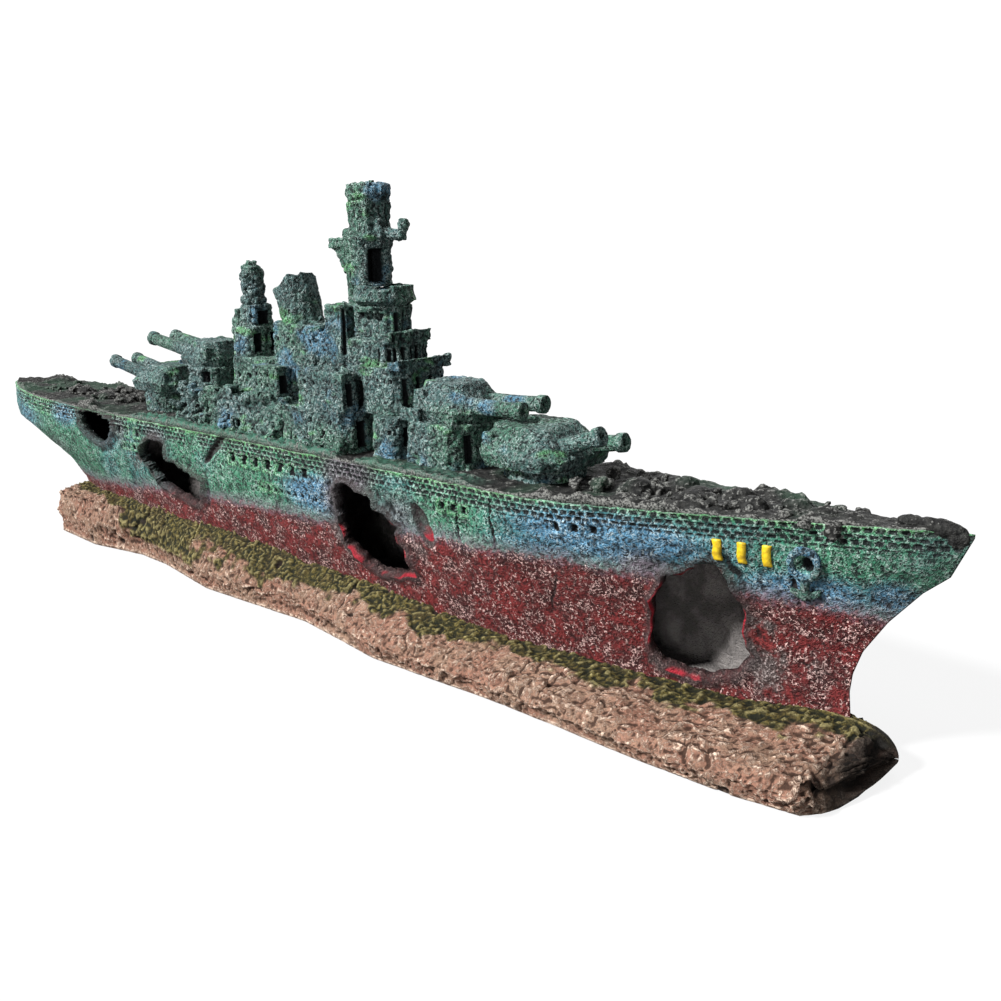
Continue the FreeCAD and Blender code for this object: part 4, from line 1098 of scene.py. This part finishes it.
def tear_funnel(points):
    """Tears the funnel's mouth: a low aft lip, a dip and a high fore point."""
    low, high = cad_corners("torn_funnel")
    share = (points[:, 0] - low[0]) / (high[0] - low[0])
    cutdown = np.interp(share, (0, 0.12, 0.30, 0.45, 0.62, 0.80, 0.90, 1.0),
                        (0.14, 0.16, 0.30, 0.20, 0.04, 0.06, 0.0, 0.02))
    cutdown = cutdown + 0.05 * noise(points * (1, 1, 0), 1.8, 301)
    rise = (points[:, 2] - low[2]) / (high[2] - low[2])
    moved = points.copy()
    moved[:, 2] -= (high[2] - low[2]) * cutdown * fade(rise, 0.35, 1.0)
    return moved


def flare(centre_x, low, high, amount):
    """Widens a drum towards its rims."""
    def widen(points):
        share = np.clip((points[:, 2] - low) / (high - low), 0, 1)
        grow = 1 + amount * (np.abs(share * 2 - 1) ** 3)
        moved = points.copy()
        moved[:, 0] = centre_x + (points[:, 0] - centre_x) * grow
        moved[:, 1] = points[:, 1] * grow
        return moved
    return widen


# Faces that windows look out of: axis, direction
STARBOARD, PORT, FORE = (1, -1), (1, 1), (0, 1)


def panes(face, depth, *rows):
    """Sunken windows on one face. A row is its first and last place, level, count, width and height."""
    return [(*face, depth, rows)]


def both_sides(depth, *rows):
    return panes(STARBOARD, depth, *rows) + panes(PORT, depth, *rows)


def both_litters(seed, count, along, out, up):
    """Litter along the starboard side and, with the next seed, along the port side."""
    (aft, fore), (near, far), (foot, top) = along, out, up
    to_starboard = litter(seed, count, (aft, -far, foot), (fore, -near, top))
    return to_starboard + litter(seed + 1, count, (aft, near, foot), (fore, far, top))


def drum(x, foot, top, foot_radius, top_radius, sides=20):
    """An upright round body on the centreline."""
    return rod((x, 0, foot), (x, 0, top), foot_radius, top_radius, sides)


def lookout_posts(centre_x=31.0, radius=6.6, step=0.36, missing=(-2, 3)):
    """Stumps around the front of the lookout's rim, some of them missing."""
    posts = []
    for k in range(-6, 7):
        x, y = centre_x + radius * cos(k * step), radius * sin(k * step)
        if k not in missing:
            posts.append(rod((x, y, 86.8), (x, y, 88.4), 1.2))
    return posts


def wing(side, seed):
    """Dressing of a bridge wing, to starboard (-1) or port (1)."""
    low, high = sorted((side * 10, side * 14.4))
    place = side * 12.2
    return dict(extras=litter(seed, 14, (13.5, low, 66.8), (29.6, high, 67.2), (0.5, 1.2)),
                windows=panes((1, side), 0.9, (15, 22, 64.0, 3, 1.1, 1.2))
                + panes(FORE, 1.0, (place, place, 61.5, 1, 2.2, 6)))


def cabin(side):
    """Dressing of a deck cabin, to starboard (-1) or port (1)."""
    rows = [(-8.2, -0.3, level, 4, 1.0, 1.1) for level in (64.0, 61.2)]
    return dict(windows=panes((1, side), 1.1, *rows)
                + panes(FORE, 1.0, (side * 11, side * 11, 61.5, 1, 3.0, 5)))


def turret(aft, fore, half, foot, roof, facing):
    """A gun house: steep behind, with its roof sloping down towards the guns."""
    slope = 0.30 * (fore - aft)
    foot_outline = octagon(aft, fore, half, 3.5)
    if facing > 0:
        roof_outline = octagon(aft + 2.5, fore - slope, half * 0.66, 2.2)
    else:
        roof_outline = octagon(aft + slope, fore - 2.5, half * 0.66, 2.2)
    body = facet(foot_outline, foot + 2.6, roof_outline, roof)
    skirt = facet(octagon(aft + 0.8, fore - 0.8, half - 0.8, 3.5), foot, foot_outline, foot + 2.8)
    rear = aft + 4 if facing > 0 else fore - 4
    hoods = [block((rear - 1.6, y - 1.6, foot + 2), (rear + 1.6, y + 1.6, roof - 1.6))
             for y in (-half * 0.74, half * 0.74)]
    return [body, skirt, *hoods]


# What each upper work adds to its CAD shape. The order sets each one's noise seed.
DRESSING = {
    "main_deckhouse": dict(
        extras=both_litters(11, 44, (-31, 30), (11, 15), (57.0, 58.2))
        + both_litters(13, 26, (-32, 31), (15.2, 16.2), (46.5, 50)),
        windows=both_sides(1.4, (-26, -9, 54.0, 4, 1.3, 1.5), (-20, 22, 51.0, 3, 1.6, 1.6),
                           (9, 25, 54.2, 3, 1.2, 1.3))
        + both_sides(2.2, (4.5, 4.5, 49.6, 1, 1.3, 5.5), (-15, -15, 49.0, 1, 1.2, 3.6))
        + panes(FORE, 1.6, (-9, 9, 51, 3, 3.2, 7)),
    ),
    "bridge_base": dict(
        windows=both_sides(0.9, (39, 44.5, 53.5, 2, 1.2, 1.3)) + panes(FORE, 1.0, (-8, 8, 52, 4, 2.0, 5)),
    ),
    "aft_deckhouse": dict(
        extras=both_litters(15, 34, (-50, -33), (12.0, 13.6), (46.5, 57)),
        windows=both_sides(2.2, (-46, -38, 52.0, 2, 3.0, 4.5)), crust=1.5,
    ),
    "fore_barbette": dict(
        extras=litter(17, 16, (48, -11, 57), (66, 11, 57.8)) + parapet(47.5, 54, 11.5, 57, 60.5, 1.2, "sp"),
        windows=panes(FORE, 1.4, (-8, 8, 51.5, 3, 2.6, 7)),
    ),
    "lower_bridge": dict(
        extras=parapet(40.5, 45.3, 9.2, 68.3, 70.8),
        windows=both_sides(3.0, (30.0, 30.0, 60.5, 1, 3.2, 8.5)) + both_sides(0.7, (37, 42, 65.5, 3, 1.0, 1.1))
        + panes(FORE, 1.5, (-6.5, 6.5, 62.5, 4, 1.8, 7.5)),
    ),
    "upper_bridge": dict(
        extras=parapet(34, 40.4, 7.4, 74.6, 77.4), flute=0.8,
        windows=panes(FORE, 1.3, (-5.2, 5.2, 71.4, 5, 1.1, 4.2)) + both_sides(0.8, (36, 39, 71.5, 2, 0.9, 3.2)),
    ),
    "tower": dict(
        extras=[drum(30.6, 82.0, 83.4, 7.2, 7.6)],
        windows=panes(FORE, 1.3, (-2.4, 2.6, 79, 2, 1.4, 6.0)), flute=1.0,
    ),
    "lookout_platform": dict(
        own=[drum(31.0, 83.5, 85.0, 6.2, 7.9, 22), drum(31.0, 84.8, 87.4, 8.3, 7.6, 22), *lookout_posts()],
        crust=0.7,
    ),
    "director_column": dict(
        windows=panes(FORE, 3.6, (-1.2, -1.2, 93.2, 1, 5.4, 8.6))
        + panes(STARBOARD, 1.2, (30.5, 30.5, 93.2, 1, 2.2, 8.0)),
        extras=[drum(26.5, 98.2, 100.5, 5.4, 6.3, 18)], flute=0.6,
    ),
    "gun_director": dict(flute=1.5, crust=0.9, reshape=flare(26.5, 100.5, 109.1, 0.07),
                         extras=[drum(26.5, 100.6, 102.2, 5.9, 5.5)]),
    "director_crown": dict(
        own=[drum(26.5, 108.9, 110.8, 5.3, 5.7), drum(26.5, 110.6, 113.2, 5.9, 5.6),
             *litter(18, 14, (22.5, -4.0, 112.4), (30.5, 4.0, 113.0), (0.5, 1.2)),
             block((30.8, -1.6, 110.8), (33.2, 0.8, 112.8))],
        flute=0.7, crust=0.9,
    ),
    "rangefinder_horn": dict(
        own=[rod((30.0, 0.5, 102.0), (37.2, 0.5, 100.6), 1.3), rod((37.4, 0.5, 100.2), (38.4, 0.5, 103.4), 1.3),
             ball((38.4, 0.5, 103.6), (1.6, 1.5, 1.3))], crust=0.7, voxel=0.3,
    ),
    "signal_yard": dict(
        own=[facet([(11.4, -1.3), (21.9, -1.3), (21.9, 1.3), (11.4, 1.3)], 97.8,
                   [(11.2, -1), (20.6, -1), (20.6, 1), (11.2, 1)], 100.0),
             facet([(17.0, -0.9), (19.6, -0.9), (19.6, 0.9), (17.0, 0.9)], 91.5,
                   [(12.4, -1), (21.2, -1), (21.2, 1), (12.4, 1)], 98.2),
             ball((19.2, -0.8, 101.2), (1.7, 1.6, 1.4)), rod((18.4, -0.2, 92), (19.0, -0.6, 101), 1.1)],
        crust=0.8, voxel=0.3,
    ),
    "yard_pole": dict(own=[rod((19.0, 0, 82.6), (18.2, 0, 96.6), 1.2, 1.0)], voxel=0.3, crust=0.6),
    "tower_annex": dict(
        extras=litter(19, 9, (13.8, -6, 82.6), (21.5, 6, 82.9), (0.5, 1.0))
        + [block((11.8, -6.9, 57), (14, 6.9, 76))],
        windows=both_sides(1.6, (21.9, 21.9, 76.5, 1, 1.5, 12)),
    ),
    "starboard_wing": wing(-1, 22),
    "port_wing": wing(1, 23),
    "funnel_base": dict(
        extras=litter(20, 22, (-7.5, -7.6, 77.0), (11.5, 7.6, 77.8), (0.5, 1.1)),
        windows=both_sides(0.8, (-5, 9, 73.4, 4, 0.9, 1.0)),
    ),
    "mast_plinth": dict(
        windows=panes(FORE, 2.0, (-5, 5, 62, 2, 4.0, 6)) + both_sides(1.0, (-24, -14, 62, 3, 1.2, 1.4)),
    ),
    "mast_house": dict(windows=panes(FORE, 1.6, (-3, 3, 71, 2, 3.0, 5.5)), crust=1.3),
    "mast_step": dict(windows=panes(FORE, 1.4, (0, 0, 78, 1, 4.0, 4.0)), crust=1.3),
    "torn_funnel": dict(reshape=tear_funnel, crust=0.6, flute=0.9, voxel=0.34),
    "ringed_mast": dict(crust=1.5, voxel=0.32),
    "after_barbette": dict(
        extras=litter(21, 26, (-50, -9.5, 57.5), (-38, 9.5, 63)),
        windows=both_sides(2.0, (-47, -40, 60, 2, 3, 3.4)),
    ),
    "starboard_cabin": cabin(-1),
    "port_cabin": cabin(1),
    "signal_locker": dict(flute=0.6), "turret_a_ring": dict(), "turret_d_ring": dict(),
}
for index, (name, dressing) in enumerate(DRESSING.items()):
    weathered(name, house_material, seed=100 + 9 * index, **dressing)
for letter, facing in (("a", 1), ("b", 1), ("c", -1), ("d", -1)):
    low, high = cad_corners(f"turret_{letter}_house")
    weathered(f"turret_{letter}_house", house_material, slot="gun_paint", seed=400 + ord(letter),
              own=turret(low[0], high[0], high[1], low[2], high[2], facing),
              extras=litter(ord(letter), 5, (low[0] + 4, -5, high[2] - 0.6), (high[0] - 8, 5, high[2] - 0.2),
                            (0.5, 1.0)),
              crust=0.6)
    for hand in ("starboard", "port"):
        weathered(f"turret_{letter}_{hand}_barrel", house_material, slot="gun_paint", voxel=0.26, seed=500,
                  crust=0.15)

# Heaps of wreckage: station, distance to port, reach along, across and up
FOREDECK_LUMPS = (
    (112, -3, 3.6, 3.8, 3.4), (119, 5, 3.0, 3.6, 3.2), (126, -4, 3.8, 3.0, 3.0), (124, 2, 3.4, 3.0, 2.4),
    (133, 3, 4.0, 3.2, 3.2), (139, -2.5, 3.4, 2.8, 3.6), (146, 2, 4.0, 2.6, 3.0), (152, 0, 4.4, 2.4, 2.8),
    (158, 0.4, 3.2, 1.8, 2.6), (163, 0, 2.4, 1.2, 1.6),
)
AFT_DECK_LUMPS = (
    (-110, -3, 3.5, 3.4, 2.2), (-119, 2, 4.2, 4, 2.0), (-128, -2, 4, 3.6, 2.2), (-138, 2, 4, 3.4, 1.8),
    (-147, -1, 4, 3, 1.6),
)


def heap(lumps, floor_height):
    return [ball((x, y, floor_height), (a, b, c)) for x, y, a, b, c in lumps]


weathered("foredeck_wreckage", deck_material, slot="deck_paint", own=heap(FOREDECK_LUMPS, 47.0), seed=600,
          crust=1.5, flute=0.8, extras=litter(31, 90, (98, -8, 47), (158, 8, 48.2), (0.5, 1.3)))
weathered("aft_deck_wreckage", deck_material, slot="deck_paint", own=heap(AFT_DECK_LUMPS, 46.0), seed=610,
          crust=1.5, flute=0.8, extras=litter(32, 80, (-150, -7, 46), (-92, 7, 47.0), (0.5, 1.3)))
weathered("bow_chock", deck_material, slot="deck_paint", seed=620, crust=0.6, voxel=0.3, own=[
    ball((173.6, 0, 49.6), (5.2, 1.7, 1.7)), ball((169.0, 0, 50.0), (3.0, 1.5, 1.2)),
    ball((177.0, 0, 48.4), (2.3, 1.1, 1.8)),
])


def hawse_anchor(side, station=152.0, level=40.0):
    """A hawse ring on the plating with the anchor's shank and arms hanging below it."""
    def on_side(x, z):
        return x, side * (breadth(x, z) + 0.4), z

    turns = [k * pi / 6 for k in range(13)]
    bends = [on_side(station + 2.6 * cos(turn), level + 2.9 * sin(turn)) for turn in turns]
    ring = [rod(a, b, 0.75) for a, b in zip(bends, bends[1:])]
    foot = on_side(station, level - 7.0)
    arms = [rod(foot, on_side(station + reach, level - 5.6), 0.8, 0.5) for reach in (-2.8, 2.8)]
    return ring + [rod(on_side(station, level - 2.5), foot, 0.9)] + arms


for side, name in ((-1, "starboard_anchor"), (1, "port_anchor")):
    weathered(name, house_material, slot="hull_paint", own=hawse_anchor(side), voxel=0.25, seed=650,
              crust=0.25)


def bow_marks(material):
    """Three raised upright bars on each side of the bow, laid on the curved plating."""
    low, high = cad_corners("bow_marks")
    bars, width, proud, sunk = 3, 1.5, 0.62, 0.5
    rows = np.linspace(0, 1, 14)
    points, faces = [], []
    for side in (-1, 1):
        for k in range(bars):
            centre = low[0] + width / 2 + (high[0] - low[0] - width) * k / (bars - 1)
            z = low[2] + (high[2] - low[2]) * rows
            rings = []
            for offset, level in ((-0.5, -sunk), (-0.5, proud), (0.5, proud), (0.5, -sunk)):
                x = centre + width * offset + 0.25 * noise(np.stack([z, z * 0 + k, z * 0 + offset], 1), 1.6, 71)
                rings.append(np.stack([x, side * (breadth(x, z) + level), z], 1))
            start = len(points)
            for row in range(len(rows)):
                points += [ring[row] for ring in rings]
            for row in range(len(rows) - 1):
                for corner in range(4):
                    a, b = start + 4 * row + corner, start + 4 * row + (corner + 1) % 4
                    loop = (a, b, b + 4, a + 4)
                    faces.append(loop if side > 0 else loop[::-1])
            last = start + 4 * (len(rows) - 1)
            caps = [(start + 3, start + 2, start + 1, start), (last, last + 1, last + 2, last + 3)]
            faces += caps if side > 0 else [cap[::-1] for cap in caps]
    mesh = raw_mesh("bow_marks_cast", np.array(points), faces)
    return cast("bow_marks_cast", mesh, material, ("bow_marks",), {})


bow_marks(plain_paint("yellow_marks", (0.72, 0.50, 0.01), (0.40, 0.25, 0.005)))

PLASTIC, PLASTIC_WORN = (0.03, 0.035, 0.04), (0.05, 0.055, 0.06)
finishes = {
    "air_pipe": ("air_plastic", plain_paint("air_tube", PLASTIC, PLASTIC_WORN)),
    "air_nipple": ("air_plastic", plain_paint("air_nipple", PLASTIC, PLASTIC_WORN)),
    "air_stone": ("air_stone", plain_paint("air_stone", (0.20, 0.28, 0.42), (0.12, 0.18, 0.30), 0.9, 0.8)),
    "hull_grommet": ("grommet_rubber", plain_paint("grommet", (0.02, 0.02, 0.02), (0.035, 0.035, 0.035))),
}
for node, (slot, material) in finishes.items():
    node_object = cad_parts[node]
    node_object.data.materials.clear()
    node_object.data.materials.append(material)

# ---------------------------------------------------------------- stage, light and camera

# Metres from the middle to the floor's edge, and how far it lies under the object
FLOOR_REACH, FLOOR_DROP = 6.0, 0.0002
# Strength of the white floor and air, as lighting and as the camera sees them
FLOOR_FELT, FLOOR_SEEN, AIR_FELT, AIR_SEEN = 0.30, 0.86, 0.15, 1.1
floor_mesh = bpy.data.meshes.new("studio_floor")
floor_mesh.from_pydata(
    [(-FLOOR_REACH, -FLOOR_REACH, 0), (FLOOR_REACH, -FLOOR_REACH, 0), (FLOOR_REACH, FLOOR_REACH, 0),
     (-FLOOR_REACH, FLOOR_REACH, 0)], [], [(0, 1, 2, 3)])
floor = bpy.data.objects.new("studio_floor", floor_mesh)
bpy.context.scene.collection.objects.link(floor)
white = Paint("studio_white", 0.9, 0.0)
white.shader.inputs["Base Color"].default_value = (0.06, 0.06, 0.06, 1)
white.shader.inputs["Emission Color"].default_value = (1, 1, 1, 1)
seen_by = white.tree.nodes.new("ShaderNodeLightPath")
glow = white.span(seen_by.outputs["Is Camera Ray"], 0, 1, FLOOR_FELT, FLOOR_SEEN)
white.link(glow, white.shader.inputs["Emission Strength"])
floor_mesh.materials.append(white.material)
floor.location.z = -FLOOR_DROP

world = bpy.data.worlds.new("studio_air")
bpy.context.scene.world = world
world.use_nodes = True
nodes, links = world.node_tree.nodes, world.node_tree.links
nodes.clear()
world_out = nodes.new("ShaderNodeOutputWorld")
seen, felt = nodes.new("ShaderNodeBackground"), nodes.new("ShaderNodeBackground")
seen.inputs["Color"].default_value = (1, 1, 1, 1)
seen.inputs["Strength"].default_value = AIR_SEEN
felt.inputs["Color"].default_value = (0.95, 0.98, 1, 1)
felt.inputs["Strength"].default_value = AIR_FELT
ray, choice = nodes.new("ShaderNodeLightPath"), nodes.new("ShaderNodeMixShader")
links.new(ray.outputs["Is Camera Ray"], choice.inputs[0])
links.new(felt.outputs[0], choice.inputs[1])
links.new(seen.outputs[0], choice.inputs[2])
links.new(choice.outputs[0], world_out.inputs["Surface"])


def sun(name, towards, strength, spread, colour=(1, 1, 1)):
    data = bpy.data.lights.new(name, "SUN")
    data.energy, data.angle, data.color = strength, radians(spread), colour
    lamp = bpy.data.objects.new(name, data)
    lamp.rotation_euler = Vector(towards).to_track_quat("-Z", "Y").to_euler()
    bpy.context.scene.collection.objects.link(lamp)


sun("key", (0.40, 0.72, -0.62), 12.0, 9)
sun("top", (0.10, 0.25, -1.0), 1.2, 40)
sun("front", (-0.50, 0.85, -0.20), 1.3, 20)
sun("far_side", (0.35, -0.85, -0.40), 3.0, 60)

# Where the object is looked at from: azimuth, pitch and roll in degrees, place in metres, lens and sensor in mm
VIEW_AZIMUTH, VIEW_PITCH, VIEW_ROLL = 41.38, 14.49, -0.62
VIEW_PLACE, VIEW_LENS, SENSOR, NEAREST = (0.2330, -0.1850, 0.1016), 37.534, 36.0, 0.01
camera_data = bpy.data.cameras.new("camera")
camera_data.lens, camera_data.sensor_width, camera_data.clip_start = VIEW_LENS, SENSOR, NEAREST
camera = bpy.data.objects.new("camera", camera_data)
bpy.context.scene.collection.objects.link(camera)
azimuth, pitch = radians(VIEW_AZIMUTH), radians(VIEW_PITCH)
forward = Vector((-sin(azimuth) * cos(pitch), cos(azimuth) * cos(pitch), -sin(pitch)))
camera.rotation_euler = (
    forward.to_track_quat("-Z", "Y").to_matrix() @ Matrix.Rotation(radians(VIEW_ROLL), 3, "Z")
).to_euler()
camera.location = VIEW_PLACE
bpy.context.scene.camera = camera
bpy.context.scene.view_settings.view_transform = "Standard"
